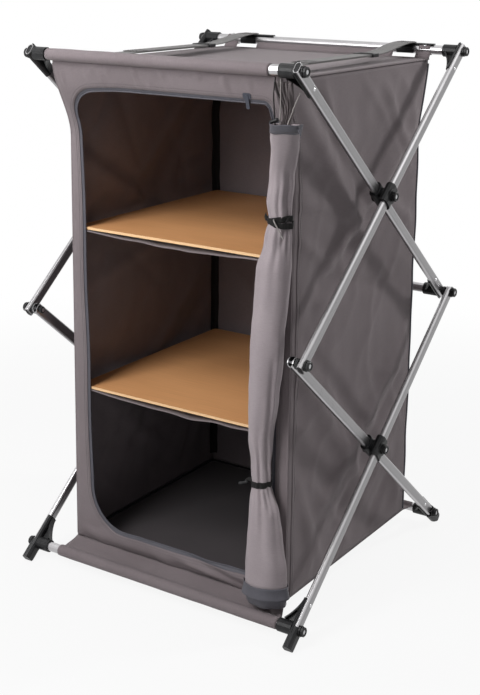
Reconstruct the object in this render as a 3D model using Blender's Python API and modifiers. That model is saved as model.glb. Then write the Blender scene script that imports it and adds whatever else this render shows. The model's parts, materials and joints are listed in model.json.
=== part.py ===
"""Folding camping cupboard on a two-stage scissor frame.

Metres, +Z up, +X to the right of someone who faces the front, the front at -Y.
The origin is on the ground under the middle of the cupboard.

Each side has four flat oval tubes. Two inner tubes carry the bars at the top front, the
middle rear and the bottom rear. Two outer tubes carry the bars at the top rear and the
bottom front. A fabric box with two shelves hangs between the bars.
"""
import math

import bmesh
import bpy
from mathutils import Matrix, Vector

# Frame
PIVOT_DEPTH = 0.600
STAGE_HEIGHT = 0.500
FOOT_DROP = 0.030
FRAME_WIDTH = 0.584
TUBE_WIDE = 0.022
TUBE_THICK = 0.012
TUBE_WALL = 0.0013
TUBE_OVERHANG = 0.012
PLANE_GAP = 0.007
END_EASE = 0.0004
BAR_DIAMETER = 0.019
BAR_WALL = 0.0012
SEAT_GAP = 0.0003

# Corner brackets and feet
SOCKET_REACH = 0.036
SOCKET_NOSE = 0.008
SOCKET_WALL = 0.0028
SOCKET_FLOOR = 0.0035
ARM_LENGTH = 0.058
ARM_WALL = 0.0026
ARM_LIP = 0.001
GUSSET_WEB = 0.0022
GUSSET_WEB_SHARE = 0.5
GUSSET_ROOT_WIDE = 0.017
GUSSET_TIP_WIDE = 0.011
GUSSET_FLANGE_THICK = 0.0028
GUSSET_HOLLOW = 0.003
GUSSET_PULL = 0.45
GUSSET_SINK = 0.001
FOOT_LENGTH = 0.040
FOOT_SLEEVE = 0.002
FOOT_WALL = 0.0022
PLUG_RECESS = 0.001
PLUG_REACH = 0.008

# Clamps and bolts
CLAMP_LENGTH = 0.042
CLAMP_SIDE_WALL = 0.0046
CLAMP_BOSS_RADIUS = 0.0142
BOLT_RADIUS = 0.003
BOLT_PLAY = 0.0003
WASHER_RADIUS = 0.0104
WASHER_THICK = 0.0028
HEAD_NECK_RADIUS = 0.0076
HEAD_NECK = 0.0008
HEAD_RADIUS = 0.0092
HEAD_HEIGHT = 0.0055
HEAD_BEVEL = 0.0012
HEAD_RECESS_RADIUS = 0.0056
HEAD_RECESS_DEPTH = 0.0022
HEAD_CENTRE_RADIUS = 0.0040
HEAD_CENTRE_HEIGHT = 0.0012
NUT_BEVEL = 0.0012
NUT_RADIUS = 0.0056
NUT_HEIGHT = 0.0042
CAP_NUT_RADIUS = 0.0072
CAP_NUT_HEIGHT = 0.0055
SPACER_RADIUS = 0.0100

# Fabric box
FABRIC = 0.0012
BOX_SIDE_GAP = 0.042
BOX_SETBACK = 0.058
BOX_REAR_GAP = 0.051
BOX_REAR_TOP_GAP = 0.020
FLOOR_RISE = 0.010
TOP_DROP = 0.017
TOP_SAG = 0.008
TOP_SLOPE_DEPTH = 0.100
TOP_SEAM_ANGLE = -30.0
FLOOR_SEAM_ANGLE = 20.0
WALL_SEAM_ANGLE = -50.0
WALL_FLARE_HEIGHT = 0.150
TOP_SLEEVE_LEFT = 0.002
TOP_SLEEVE_RIGHT = 0.020
BOTTOM_SLEEVE_LEFT = 0.028
BOTTOM_SLEEVE_RIGHT = 0.002
SEAM_LAP = 0.004
FOLD_DEPTH = 0.007
FOLD_WIDTH = 0.045
FOLD_INWARD = 0.0042
FOLD_FADE = 2.2
REAR_RIPPLE = 0.0035

# Door opening, its rolled door and the zip slider
OPENING_LEFT = 0.030
OPENING_RIGHT = 0.035
OPENING_TOP = 0.054
OPENING_BOTTOM = 0.042
# Corner radii of the opening: right top, left top, left bottom and right bottom
OPENING_RADII = (0.035, 0.055, 0.088, 0.060)
ROLL_WIDE = 0.076
ROLL_DEEP = 0.058
ROLL_WAIST = 0.66
ROLL_BOW = 0.012
ROLL_LOOK_UP = 0.040
ROLL_TIE_SPREAD = 0.045
ROLL_TOP_DROP = 0.088
ROLL_TIE_DROP = 0.262
ROLL_LOW_TIE_RISE = 0.244
ROLL_BOTTOM_RISE = 0.026
ROLL_TOP_OUT = 0.002
ROLL_BOTTOM_IN = 0.036
ROLL_TIE_IN = 0.005
ROLL_LOBES = ((3, 5.0, 0.05), (5, -9.0, 0.03))
ZIP_MARGIN = 0.001
SLIDER_LONG = 0.016
SLIDER_WIDE = 0.011
SLIDER_THICK = 0.0045
SLIDER_CORNER = 0.003
PULL_LONG = 0.026
PULL_WIDE = 0.007
PULL_THICK = 0.0016
PULL_CORNER = 0.0024

# Shelves
SHELF_LOW_RISE = 0.340
SHELF_HIGH_RISE = 0.665
BOARD_THICK = 0.005
BOARD_CORNER = 0.010
BOARD_MARGIN = 0.006
SLING_SAG = 0.007

# Straps over the top
STRAP_INSET = 0.058
STRAP_WIDE = 0.038
STRAP_THICK = 0.0016
STRAP_DROP = 0.0035
ADJUSTER_Y = 0.120
ADJUSTER_LONG = 0.022
ADJUSTER_WALL = 0.0028
ADJUSTER_CORNER = 0.001
TAIL_LAP = 0.250
TAIL_RISE_START = 0.140
TAIL_PAST_BAR = 0.004
CLIP_WALL = 0.0026
CLIP_MOUTH = 100.0
CLIP_PLATE_REACH = 0.042
CLIP_PLATE_DEEP = 0.015
CLIP_PLATE_LAP = 0.006
CLIP_PLATE_THICK = 0.0024
CLIP_CORNER = 0.003
NOTCH_WIDE = 0.052
NOTCH_DEEP = 0.014
BAND_TOUCH_ANGLE = 200.0

# Facets
TUBE_ARC_STEPS = 3
BAR_STEPS = 16
BORE_STEPS = 14
GUSSET_STEPS = 5
HOLE_STEPS = 8
BOLT_STEPS = 10
WALL_ROWS = 18
ROLL_COLUMNS = 16
ROLL_ROWS = 24
WRAP_SIDE_COLUMNS = 8
WRAP_REAR_COLUMNS = 4

# Colours: linear RGB, roughness, metallic
ALUMINIUM = ((0.56, 0.56, 0.57), 0.35, 1.0)
BLACK_NYLON = ((0.012, 0.012, 0.013), 0.45, 0.0)
BOLT_BLACK = ((0.016, 0.016, 0.017), 0.35, 0.2)
TAUPE_CLOTH = ((0.155, 0.134, 0.132), 0.85, 0.0)
GREY_WEBBING = ((0.190, 0.195, 0.190), 0.80, 0.0)
BOARD_WOOD = ((0.560, 0.290, 0.110), 0.55, 0.0)
ZIP_METAL = ((0.070, 0.075, 0.090), 0.40, 0.8)

# Places that follow from the sizes
FRONT_Y = -PIVOT_DEPTH / 2
REAR_Y = PIVOT_DEPTH / 2
LOW_Z = FOOT_DROP
MID_Z = LOW_Z + STAGE_HEIGHT
HIGH_Z = MID_Z + STAGE_HEIGHT
INNER_X = FRAME_WIDTH / 2
PLANE_STEP = TUBE_THICK + PLANE_GAP
OUTER_X = INNER_X + PLANE_STEP
TUBE_RUN = math.hypot(PIVOT_DEPTH, STAGE_HEIGHT)
BAR_RADIUS = BAR_DIAMETER / 2
SLEEVE_INNER = BAR_RADIUS + SEAT_GAP
SLEEVE_OUTER = SLEEVE_INNER + FABRIC
HALF_THICK = TUBE_THICK / 2
PLATE_OUT = HALF_THICK + SEAT_GAP + ARM_WALL
SOCKET_BASE = PLATE_OUT + SOCKET_FLOOR
SOCKET_BORE = BAR_RADIUS + SEAT_GAP
SOCKET_RADIUS = SOCKET_BORE + SOCKET_WALL
CLAMP_HALF = (PLANE_STEP - SEAT_GAP) / 2
HOLE_RADIUS = BOLT_RADIUS + BOLT_PLAY
BOX_FRONT = FRONT_Y + BOX_SETBACK
BOX_REAR = REAR_Y - BOX_REAR_GAP
BOX_REAR_TOP = REAR_Y - BOX_REAR_TOP_GAP
HALF_BOX = INNER_X - BOX_SIDE_GAP
FLOOR_Z = LOW_Z + FLOOR_RISE
PANEL_Z = HIGH_Z - TOP_DROP
EDGE_GAP = FABRIC * 0.75 + SEAT_GAP

FRONT_TOP = Vector((0.0, FRONT_Y, HIGH_Z))
REAR_TOP = Vector((0.0, REAR_Y, HIGH_Z))
FRONT_MID = Vector((0.0, FRONT_Y, MID_Z))
REAR_MID = Vector((0.0, REAR_Y, MID_Z))
FRONT_LOW = Vector((0.0, FRONT_Y, LOW_Z))
REAR_LOW = Vector((0.0, REAR_Y, LOW_Z))
UPPER_CROSS = (FRONT_TOP + REAR_MID) / 2
LOWER_CROSS = (FRONT_MID + REAR_LOW) / 2

# Each body's empty stands on the axis that the body turns or slides about
BODY_AXES = {
    "base": Vector((0.0, 0.0, 0.0)),
    "front_legs": FRONT_LOW,
    "rear_legs": LOWER_CROSS,
    "upper_front": REAR_MID,
    "upper_rear": UPPER_CROSS,
    "top": FRONT_TOP,
    "top_rear": Vector((0.0, BOX_REAR_TOP, PANEL_Z)),
    "rear_clips": REAR_TOP,
    "floor_tail": Vector((0.0, BOX_REAR, FLOOR_Z)),
    "shelf_low": Vector((0.0, 0.0, LOW_Z + SHELF_LOW_RISE)),
    "shelf_high": Vector((0.0, 0.0, LOW_Z + SHELF_HIGH_RISE)),
    "zip": Vector((0.0, FRONT_Y, HIGH_Z - OPENING_TOP)),
}


# Scene set-up and small helpers

def clear_scene():
    """Remove every object of the open scene."""
    for obj in list(bpy.data.objects):
        bpy.data.objects.remove(obj, do_unlink=True)


def new_collection(name):
    """Make a collection in the scene."""
    collection = bpy.data.collections.new(name)
    bpy.context.scene.collection.children.link(collection)
    return collection


def new_material(name, look):
    """Make a Principled material from a colour, roughness and metallic value."""
    colour, roughness, metallic = look
    material = bpy.data.materials.new(name)
    material.use_nodes = True
    shader = material.node_tree.nodes["Principled BSDF"]
    shader.inputs["Base Color"].default_value = (*colour, 1.0)
    shader.inputs["Roughness"].default_value = roughness
    shader.inputs["Metallic"].default_value = metallic
    material.diffuse_color = (*colour, 1.0)
    return material


clear_scene()
PARTS = new_collection("folding_camping_cupboard")
CUTTERS = new_collection("cutters")
BODIES = {}


def add_bodies():
    """Add one empty for each body, on its joint's axis."""
    for name, axis in BODY_AXES.items():
        empty = bpy.data.objects.new(name + "_axis", None)
        empty.empty_display_size = 0.03
        empty.location = axis
        PARTS.objects.link(empty)
        BODIES[name] = empty


def add_part(name, mesh, body, look, origin=None, x_axis=None, z_axis=None, smooth=True):
    """Add one named piece to a body.

    A piece without an origin has its mesh in world places, and is moved to its body's axis.
    Otherwise its own frame stands at the origin, turned by the two axes.
    """
    axis = BODY_AXES[body]
    obj = bpy.data.objects.new(name, mesh)
    if origin is None:
        mesh.transform(Matrix.Translation(-axis))
    else:
        right = Vector(x_axis).normalized()
        up = Vector(z_axis).normalized()
        turn = Matrix((right, up.cross(right), up)).transposed()
        obj.rotation_euler = turn.to_euler()
        obj.location = Vector(origin) - axis
    obj.parent = BODIES[body]
    PARTS.objects.link(obj)
    if smooth:
        mesh.shade_smooth()
        mesh.set_sharp_from_angle(angle=math.radians(35))
    material = new_material(name, look)
    if mesh.materials:
        obj.material_slots[0].link = "OBJECT"
        obj.material_slots[0].material = material
    else:
        mesh.materials.append(material)
    return obj


def shared_part(name, mesh, body, look, origin, x_axis, z_axis):
    """Add one of several pieces of the same shape, each with its own material."""
    copy = mesh.copy()
    return add_part(name, copy, body, look, origin, x_axis, z_axis)


def cutter(name, mesh):
    """Add a mesh as a hidden cutter."""
    obj = bpy.data.objects.new(name, mesh)
    obj.hide_render = True
    obj.display_type = "WIRE"
    CUTTERS.objects.link(obj)
    return obj


def mesh_from(bm, name="shape"):
    """Turn a bmesh into a mesh with its faces outward."""
    bmesh.ops.recalc_face_normals(bm, faces=bm.faces)
    mesh = bpy.data.meshes.new(name)
    bm.to_mesh(mesh)
    bm.free()
    return mesh


def baked(obj):
    """Return the evaluated mesh of an object, then remove the object."""
    bpy.context.view_layer.update()
    graph = bpy.context.evaluated_depsgraph_get()
    mesh = bpy.data.meshes.new_from_object(obj.evaluated_get(graph))
    mesh.transform(obj.matrix_world)
    bpy.data.objects.remove(obj, do_unlink=True)
    return mesh


# Outlines, each a list of points in a plane

def arc(centre_x, centre_y, radius, start, end, steps):
    """Points along an arc, angles in degrees, both ends included."""
    points = []
    for step in range(steps + 1):
        angle = math.radians(start + (end - start) * step / steps)
        points.append((centre_x + radius * math.cos(angle), centre_y + radius * math.sin(angle)))
    return points


def stadium(thick, wide, steps=TUBE_ARC_STEPS):
    """A flat oval, thick along X and wide along Y."""
    radius = thick / 2
    offset = wide / 2 - radius
    return arc(0, offset, radius, 0, 180, 2 * steps) + arc(0, -offset, radius, 180, 360, 2 * steps)


def rounded_box(low_x, high_x, low_y, high_y, radii, steps=5):
    """A rectangle with corner radii in the order right-top, left-top, left-bottom, right-bottom."""
    centres = (
        (high_x - radii[0], high_y - radii[0]),
        (low_x + radii[1], high_y - radii[1]),
        (low_x + radii[2], low_y + radii[2]),
        (high_x - radii[3], low_y + radii[3]),
    )
    points = []
    for corner, (centre_x, centre_y) in enumerate(centres):
        points += arc(centre_x, centre_y, radii[corner], 90 * corner, 90 * corner + 90, steps)
    return points


def strip(path, thick):
    """The outline of a strip of even thickness along a path."""
    left = []
    right = []
    for index, (x, y) in enumerate(path):
        before = path[max(index - 1, 0)]
        after = path[min(index + 1, len(path) - 1)]
        along = Vector((after[0] - before[0], after[1] - before[1])).normalized()
        left.append((x - along.y * thick / 2, y + along.x * thick / 2))
        right.append((x + along.y * thick / 2, y - along.x * thick / 2))
    return left + right[::-1]


def smoothstep(value):
    """Ease from 0 to 1."""
    value = min(max(value, 0.0), 1.0)
    return value * value * (3 - 2 * value)


# Meshes from outlines, profiles and grids

def extruded(outlines, low, high):
    """Fill closed outlines in the XY plane, later ones as holes, from low to high along Z."""
    curve = bpy.data.curves.new("outline", "CURVE")
    curve.dimensions = "2D"
    curve.fill_mode = "BOTH"
    curve.extrude = (high - low) / 2
    for points in outlines:
        spline = curve.splines.new("POLY")
        spline.points.add(len(points) - 1)
        for point, (x, y) in zip(spline.points, points):
            point.co = (x, y, 0.0, 1.0)
        spline.use_cyclic_u = True
    obj = bpy.data.objects.new("outline", curve)
    CUTTERS.objects.link(obj)
    bpy.context.view_layer.update()
    graph = bpy.context.evaluated_depsgraph_get()
    mesh = bpy.data.meshes.new_from_object(obj.evaluated_get(graph))
    bpy.data.objects.remove(obj, do_unlink=True)
    bm = bmesh.new()
    bm.from_mesh(mesh)
    bpy.data.meshes.remove(mesh)
    bmesh.ops.remove_doubles(bm, verts=bm.verts, dist=0.00001)
    bmesh.ops.translate(bm, verts=bm.verts, vec=(0.0, 0.0, (low + high) / 2))
    return mesh_from(bm)


def along_x(mesh):
    """Turn a mesh drawn in (Y, Z) and extruded along its own Z, so that it runs along X."""
    mesh.transform(Matrix(((0, 0, 1, 0), (1, 0, 0, 0), (0, 1, 0, 0), (0, 0, 0, 1))))
    return mesh


def along_y(mesh):
    """Turn a mesh drawn in (X, Z) and extruded along its own Z, so that it runs along -Y."""
    mesh.transform(Matrix(((1, 0, 0, 0), (0, 0, -1, 0), (0, 1, 0, 0), (0, 0, 0, 1))))
    return mesh


def turned(profile, steps, name="turned"):
    """Turn a profile of (radius, height) points about Z with a Screw modifier."""
    bm = bmesh.new()
    verts = [bm.verts.new((radius, 0.0, height)) for radius, height in profile]
    for first, second in zip(verts, verts[1:]):
        bm.edges.new((first, second))
    mesh = bpy.data.meshes.new(name)
    bm.to_mesh(mesh)
    bm.free()
    obj = bpy.data.objects.new(name, mesh)
    CUTTERS.objects.link(obj)
    screw = obj.modifiers.new("Turn", "SCREW")
    screw.axis = "Z"
    screw.steps = steps
    screw.render_steps = steps
    screw.use_merge_vertices = True
    screw.merge_threshold = 0.00001
    screw.use_smooth_shade = False
    result = baked(obj)
    bm = bmesh.new()
    bm.from_mesh(result)
    bmesh.ops.remove_doubles(bm, verts=bm.verts, dist=0.000005)
    bpy.data.meshes.remove(result)
    return mesh_from(bm, name)


def cylinder(radius, low, high, steps, axis="X"):
    """A closed cylinder from low to high along X or Z."""
    bm = bmesh.new()
    bmesh.ops.create_cone(
        bm, cap_ends=True, segments=steps, radius1=radius, radius2=radius, depth=high - low)
    bmesh.ops.translate(bm, verts=bm.verts, vec=(0.0, 0.0, (low + high) / 2))
    if axis == "X":
        bmesh.ops.rotate(bm, verts=bm.verts, matrix=Matrix.Rotation(math.pi / 2, 3, "Y"))
    return mesh_from(bm)


def moved(mesh, x=0.0, y=0.0, z=0.0):
    """Shift a mesh."""
    mesh.transform(Matrix.Translation((x, y, z)))
    return mesh


def sheet(columns, rows, place, thick):
    """A grid of unit square places mapped to space, given an even thickness."""
    bm = bmesh.new()
    bmesh.ops.create_grid(bm, x_segments=columns, y_segments=rows, size=0.5)
    for vert in bm.verts:
        vert.co = place(vert.co.x + 0.5, vert.co.y + 0.5)
    mesh = bpy.data.meshes.new("sheet")
    bm.to_mesh(mesh)
    bm.free()
    obj = bpy.data.objects.new("sheet", mesh)
    CUTTERS.objects.link(obj)
    solid = obj.modifiers.new("Thickness", "SOLIDIFY")
    solid.thickness = thick
    solid.offset = 0.0
    result = baked(obj)
    bm = bmesh.new()
    bm.from_mesh(result)
    bpy.data.meshes.remove(result)
    return mesh_from(bm)


def lofted(around, along, place):
    """A closed form through rings: place takes a turn and a height share, each from 0 to 1."""
    bm = bmesh.new()
    bmesh.ops.create_grid(bm, x_segments=around, y_segments=along, size=0.5)
    for vert in bm.verts:
        vert.co = place(vert.co.x + 0.5, vert.co.y + 0.5)
    bmesh.ops.remove_doubles(bm, verts=bm.verts, dist=0.00002)
    bmesh.ops.holes_fill(bm, edges=bm.edges, sides=0)
    return mesh_from(bm)


def combined(solids, cuts=()):
    """Join closed meshes into one body and cut others out of it."""
    base = bpy.data.objects.new("base_solid", solids[0])
    CUTTERS.objects.link(base)
    helpers = []
    for operation, meshes in (("UNION", solids[1:]), ("DIFFERENCE", cuts)):
        for mesh in meshes:
            helper = cutter("helper", mesh)
            helpers.append(helper)
            step = base.modifiers.new(operation.title(), "BOOLEAN")
            step.operation = operation
            step.solver = "EXACT"
            step.object = helper
    result = baked(base)
    for helper in helpers:
        bpy.data.objects.remove(helper, do_unlink=True)
    bm = bmesh.new()
    bm.from_mesh(result)
    bpy.data.meshes.remove(result)
    bmesh.ops.remove_doubles(bm, verts=bm.verts, dist=0.000002)
    bmesh.ops.dissolve_degenerate(bm, edges=bm.edges, dist=0.000002)
    return mesh_from(bm)


# Frame tubes and bars

def round_end_cutter():
    """What a tube loses where its upper end is rounded like the end of a lever."""
    radius = TUBE_WIDE / 2 + END_EASE
    end = TUBE_RUN / 2 + TUBE_OVERHANG
    outline = arc(0.0, end - radius, radius, 10, 170, 6)
    for side, corner in ((-1, outline[-1]), (1, outline[0])):
        beyond = (side * TUBE_WIDE, end + TUBE_OVERHANG)
        edge = (side * TUBE_WIDE, corner[1])
        outline += [edge, beyond] if side < 0 else [beyond, edge]
    return along_x(extruded([outline], -TUBE_THICK, TUBE_THICK))


def tube_mesh(rounded):
    """A flat oval tube along Z, its middle at 0, with three bolt holes across it."""
    reach = TUBE_RUN / 2 + TUBE_OVERHANG
    inner = stadium(TUBE_THICK - 2 * TUBE_WALL, TUBE_WIDE - 2 * TUBE_WALL)
    body = extruded([stadium(TUBE_THICK, TUBE_WIDE), inner], -reach, reach)
    cuts = []
    for place in (-TUBE_RUN / 2, 0.0, TUBE_RUN / 2):
        cuts.append(moved(cylinder(HOLE_RADIUS, -TUBE_THICK, TUBE_THICK, HOLE_STEPS), z=place))
    if rounded:
        cuts.append(round_end_cutter())
    return combined([body], cuts)


def add_tubes():
    """Add the eight scissor tubes. The lower ones have rounded upper ends."""
    square = tube_mesh(False)
    rounded = tube_mesh(True)
    runs = (
        ("tube_upper_front", "upper_front", INNER_X, FRONT_TOP, REAR_MID, square),
        ("tube_upper_rear", "upper_rear", OUTER_X, REAR_TOP, FRONT_MID, square),
        ("tube_lower_rear", "rear_legs", INNER_X, FRONT_MID, REAR_LOW, rounded),
        ("tube_lower_front", "front_legs", OUTER_X, REAR_MID, FRONT_LOW, rounded),
    )
    for name, body, plane, high, low, mesh in runs:
        for side, sign in (("left", -1), ("right", 1)):
            middle = (high + low) / 2 + Vector((sign * plane, 0.0, 0.0))
            shared_part(f"{name}_{side}", mesh, body, ALUMINIUM, middle, (sign, 0, 0), high - low)


def add_bars():
    """Add the five round cross bars, each seated in two bracket sockets."""
    inner_radius = BAR_RADIUS - BAR_WALL
    bars = (
        ("bar_top_front", "upper_front", INNER_X, FRONT_TOP),
        ("bar_top_rear", "upper_rear", OUTER_X, REAR_TOP),
        ("bar_mid_rear", "upper_front", INNER_X, REAR_MID),
        ("bar_bottom_rear", "rear_legs", INNER_X, REAR_LOW),
        ("bar_bottom_front", "front_legs", OUTER_X, FRONT_LOW),
    )
    for name, body, plane, middle in bars:
        half = plane - SOCKET_BASE - SEAT_GAP
        profile = [
            (BAR_RADIUS, half), (BAR_RADIUS, -half),
            (inner_radius, -half), (inner_radius, half), (BAR_RADIUS, half)]
        mesh = turned(profile, BAR_STEPS, name)
        add_part(name, mesh, body, ALUMINIUM, middle, (0, 0, 1), (1, 0, 0))


# Corner brackets: X points into the cupboard, Z runs along the tube from its end

def channel_outline():
    """The arm's section: a channel that hugs the inner half of the tube."""
    inner = HALF_THICK + SEAT_GAP
    outer = inner + ARM_WALL
    offset = TUBE_WIDE / 2 - HALF_THICK
    lip_in = math.degrees(math.asin(ARM_LIP / inner))
    lip_out = math.degrees(math.asin(ARM_LIP / outer))
    steps = TUBE_ARC_STEPS
    points = arc(0, offset, outer, 90 - lip_out, 0, steps)
    points += arc(0, -offset, outer, 0, -90 + lip_out, steps)
    points += arc(0, -offset, inner, -90 + lip_in, 0, steps)
    points += arc(0, offset, inner, 0, 90 - lip_in, steps)
    return points


def gusset_curve(share):
    """A point, across and along, on the gusset's hollow slope from the socket to the arm's tip."""
    start = Vector((SOCKET_REACH - SOCKET_NOSE, SOCKET_RADIUS - GUSSET_SINK))
    end = Vector((PLATE_OUT - GUSSET_SINK, ARM_LENGTH - GUSSET_SINK))
    pull = Vector((PLATE_OUT + GUSSET_HOLLOW, start.y + (end.y - start.y) * GUSSET_PULL))
    return start * (1 - share) ** 2 + pull * 2 * share * (1 - share) + end * share ** 2


def gusset_solids():
    """The rib between socket and arm: a flange down its slope, and a web that leaves a gap above."""
    def place(across, along):
        point = gusset_curve(along)
        half = (GUSSET_ROOT_WIDE + (GUSSET_TIP_WIDE - GUSSET_ROOT_WIDE) * along) / 2
        return Vector((point.x, half * (2 * across - 1), point.y))
    web = [(PLATE_OUT - GUSSET_SINK, SOCKET_RADIUS - 2 * GUSSET_SINK)]
    for step in range(4):
        web.append(tuple(gusset_curve(GUSSET_WEB_SHARE * step / 3)))
    web.append((PLATE_OUT - GUSSET_SINK, web[-1][1]))
    return [
        sheet(1, GUSSET_STEPS, place, GUSSET_FLANGE_THICK),
        along_y(extruded([web], -GUSSET_WEB / 2, GUSSET_WEB / 2))]


def head_profile(base):
    """Half outline of a spacer ring and a round head with a raised centre, from base outward."""
    ring = base + WASHER_THICK
    neck = ring + HEAD_NECK
    top = neck + HEAD_HEIGHT
    floor = top - HEAD_RECESS_DEPTH
    return [
        (0.0, floor + HEAD_CENTRE_HEIGHT), (HEAD_CENTRE_RADIUS, floor + HEAD_CENTRE_HEIGHT),
        (HEAD_CENTRE_RADIUS, floor), (HEAD_RECESS_RADIUS, floor), (HEAD_RECESS_RADIUS, top),
        (HEAD_RADIUS - HEAD_BEVEL, top), (HEAD_RADIUS, top - HEAD_BEVEL), (HEAD_RADIUS, neck),
        (HEAD_NECK_RADIUS, neck), (HEAD_NECK_RADIUS, ring), (WASHER_RADIUS, ring), (WASHER_RADIUS, base)]


def fixing_stud(outside):
    """The bolt that holds a corner bracket: head at outside, shank through the tube to the plate."""
    end = -(PLATE_OUT + SOCKET_FLOOR / 2)
    profile = head_profile(outside) + [(BOLT_RADIUS, outside), (BOLT_RADIUS, end), (0.0, end)]
    mesh = turned(profile, BOLT_STEPS, "stud")
    mesh.transform(Matrix.Rotation(-math.pi / 2, 4, "Y"))
    return mesh


def plug_outline():
    """The section of a plug that closes a tube's end from inside."""
    shrink = 2 * (TUBE_WALL + SEAT_GAP)
    return stadium(TUBE_THICK - shrink, TUBE_WIDE - shrink)


def foot_solid():
    """The sleeve over a lower tube's end, solid below it."""
    grown = 2 * (SEAT_GAP + FOOT_WALL)
    bore = 2 * SEAT_GAP
    sleeve_mesh = extruded([stadium(TUBE_THICK + grown, TUBE_WIDE + grown)], -FOOT_LENGTH, FOOT_SLEEVE)
    pocket = extruded([stadium(TUBE_THICK + bore, TUBE_WIDE + bore)],
                      -TUBE_OVERHANG - SEAT_GAP, ARM_LENGTH + SOCKET_REACH)
    return combined([sleeve_mesh], [pocket])


def cut_flat(mesh, point, normal):
    """Cut a closed mesh by a plane, take away what lies beyond it and close the cut."""
    bm = bmesh.new()
    bm.from_mesh(mesh)
    cut = bmesh.ops.bisect_plane(
        bm, geom=list(bm.verts) + list(bm.edges) + list(bm.faces), plane_co=point,
        plane_no=normal, clear_outer=True, dist=0.000001)
    edges = [item for item in cut["geom_cut"] if isinstance(item, bmesh.types.BMEdge)]
    bmesh.ops.edgeloop_fill(bm, edges=edges)
    return mesh_from(bm)


def bracket_mesh(end, down=None):
    """A corner bracket.

    Its end is "plug" for a plugged tube end, "foot" for a foot and "open" for the middle
    bracket, whose pivot bolt is a piece of its own. down points to the ground for a foot.
    """
    outside = HALF_THICK + SEAT_GAP
    socket = cylinder(SOCKET_RADIUS, outside + ARM_WALL / 4, SOCKET_REACH, BORE_STEPS)
    arm = extruded([channel_outline()], -TUBE_OVERHANG, ARM_LENGTH)
    solids = [arm, socket] + gusset_solids()
    cuts = [cylinder(SOCKET_BORE, SOCKET_BASE, 2 * SOCKET_REACH, BORE_STEPS)]
    if end == "open":
        cuts.append(cylinder(HOLE_RADIUS, 0.0, SOCKET_REACH, HOLE_STEPS))
        return combined(solids, cuts)
    if end == "plug":
        solids.append(extruded([plug_outline()], PLUG_RECESS - TUBE_OVERHANG, PLUG_REACH))
        solids.append(fixing_stud(outside))
        return combined(solids, cuts)
    solids.append(foot_solid())
    solids.append(fixing_stud(outside + FOOT_WALL - SEAT_GAP))
    return cut_flat(combined(solids, cuts), down * FOOT_DROP, down)


def add_brackets():
    """Add the ten corner brackets."""
    plugged = bracket_mesh("plug")
    opened = bracket_mesh("open")
    rows = (
        ("bracket_top_front", "upper_front", INNER_X, FRONT_TOP, REAR_MID, plugged),
        ("bracket_top_rear", "upper_rear", OUTER_X, REAR_TOP, FRONT_MID, plugged),
        ("bracket_mid_rear", "upper_front", INNER_X, REAR_MID, FRONT_TOP, opened),
        ("bracket_bottom_rear", "rear_legs", INNER_X, REAR_LOW, FRONT_MID, None),
        ("bracket_bottom_front", "front_legs", OUTER_X, FRONT_LOW, REAR_MID, None),
    )
    for name, body, plane, pivot, other, mesh in rows:
        for side, sign in (("left", -1), ("right", 1)):
            origin = pivot + Vector((sign * plane, 0.0, 0.0))
            inward = Vector((-sign, 0.0, 0.0))
            along = (other - pivot).normalized()
            shape = mesh
            if shape is None:
                turn = Matrix((inward, along.cross(inward), along))
                shape = bracket_mesh("foot", turn @ Vector((0.0, 0.0, -1.0)))
            shared_part(f"{name}_{side}", shape, body, BLACK_NYLON, origin, inward, along)


# Clamps at the crossings and the pivot bolts

def clamp_mesh():
    """A sleeve round one tube at a crossing, with a round boss for the bolt."""
    wide = TUBE_WIDE + 2 * (SEAT_GAP + CLAMP_SIDE_WALL)
    body = extruded([stadium(2 * CLAMP_HALF, wide)], -CLAMP_LENGTH / 2, CLAMP_LENGTH / 2)
    boss = cylinder(CLAMP_BOSS_RADIUS, -CLAMP_HALF, CLAMP_HALF, BORE_STEPS)
    pocket = extruded([stadium(TUBE_THICK + 2 * SEAT_GAP, TUBE_WIDE + 2 * SEAT_GAP)],
                      -CLAMP_LENGTH, CLAMP_LENGTH)
    hole = cylinder(HOLE_RADIUS, -2 * CLAMP_HALF, 2 * CLAMP_HALF, HOLE_STEPS)
    return combined([body, boss], [pocket, hole])


def add_clamps():
    """Add the eight clamp sleeves."""
    mesh = clamp_mesh()
    rows = (
        ("clamp_upper_inner", "upper_front", INNER_X, UPPER_CROSS, FRONT_TOP),
        ("clamp_upper_outer", "upper_rear", OUTER_X, UPPER_CROSS, REAR_TOP),
        ("clamp_lower_inner", "rear_legs", INNER_X, LOWER_CROSS, FRONT_MID),
        ("clamp_lower_outer", "front_legs", OUTER_X, LOWER_CROSS, REAR_MID),
    )
    for name, body, plane, cross, end in rows:
        for side, sign in (("left", -1), ("right", 1)):
            origin = cross + Vector((sign * plane, 0.0, 0.0))
            shared_part(f"{name}_{side}", mesh, body, BLACK_NYLON, origin, (sign, 0, 0), end - cross)


def nut_profile(inside, radius, height):
    """Half outline of a domed nut that bears at inside and ends further in."""
    low = inside - height
    return [(radius, inside), (radius, low + NUT_BEVEL), (radius - NUT_BEVEL, low), (0.0, low)]


def crossing_bolt():
    """Bolt through two clamps and two tubes. Z points outward from the outer tube's middle."""
    outside = CLAMP_HALF + SEAT_GAP
    inside = -(PLANE_STEP + CLAMP_HALF + SEAT_GAP)
    profile = head_profile(outside) + [(BOLT_RADIUS, outside), (BOLT_RADIUS, inside)]
    return turned(profile + nut_profile(inside, CAP_NUT_RADIUS, CAP_NUT_HEIGHT), BOLT_STEPS)


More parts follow.
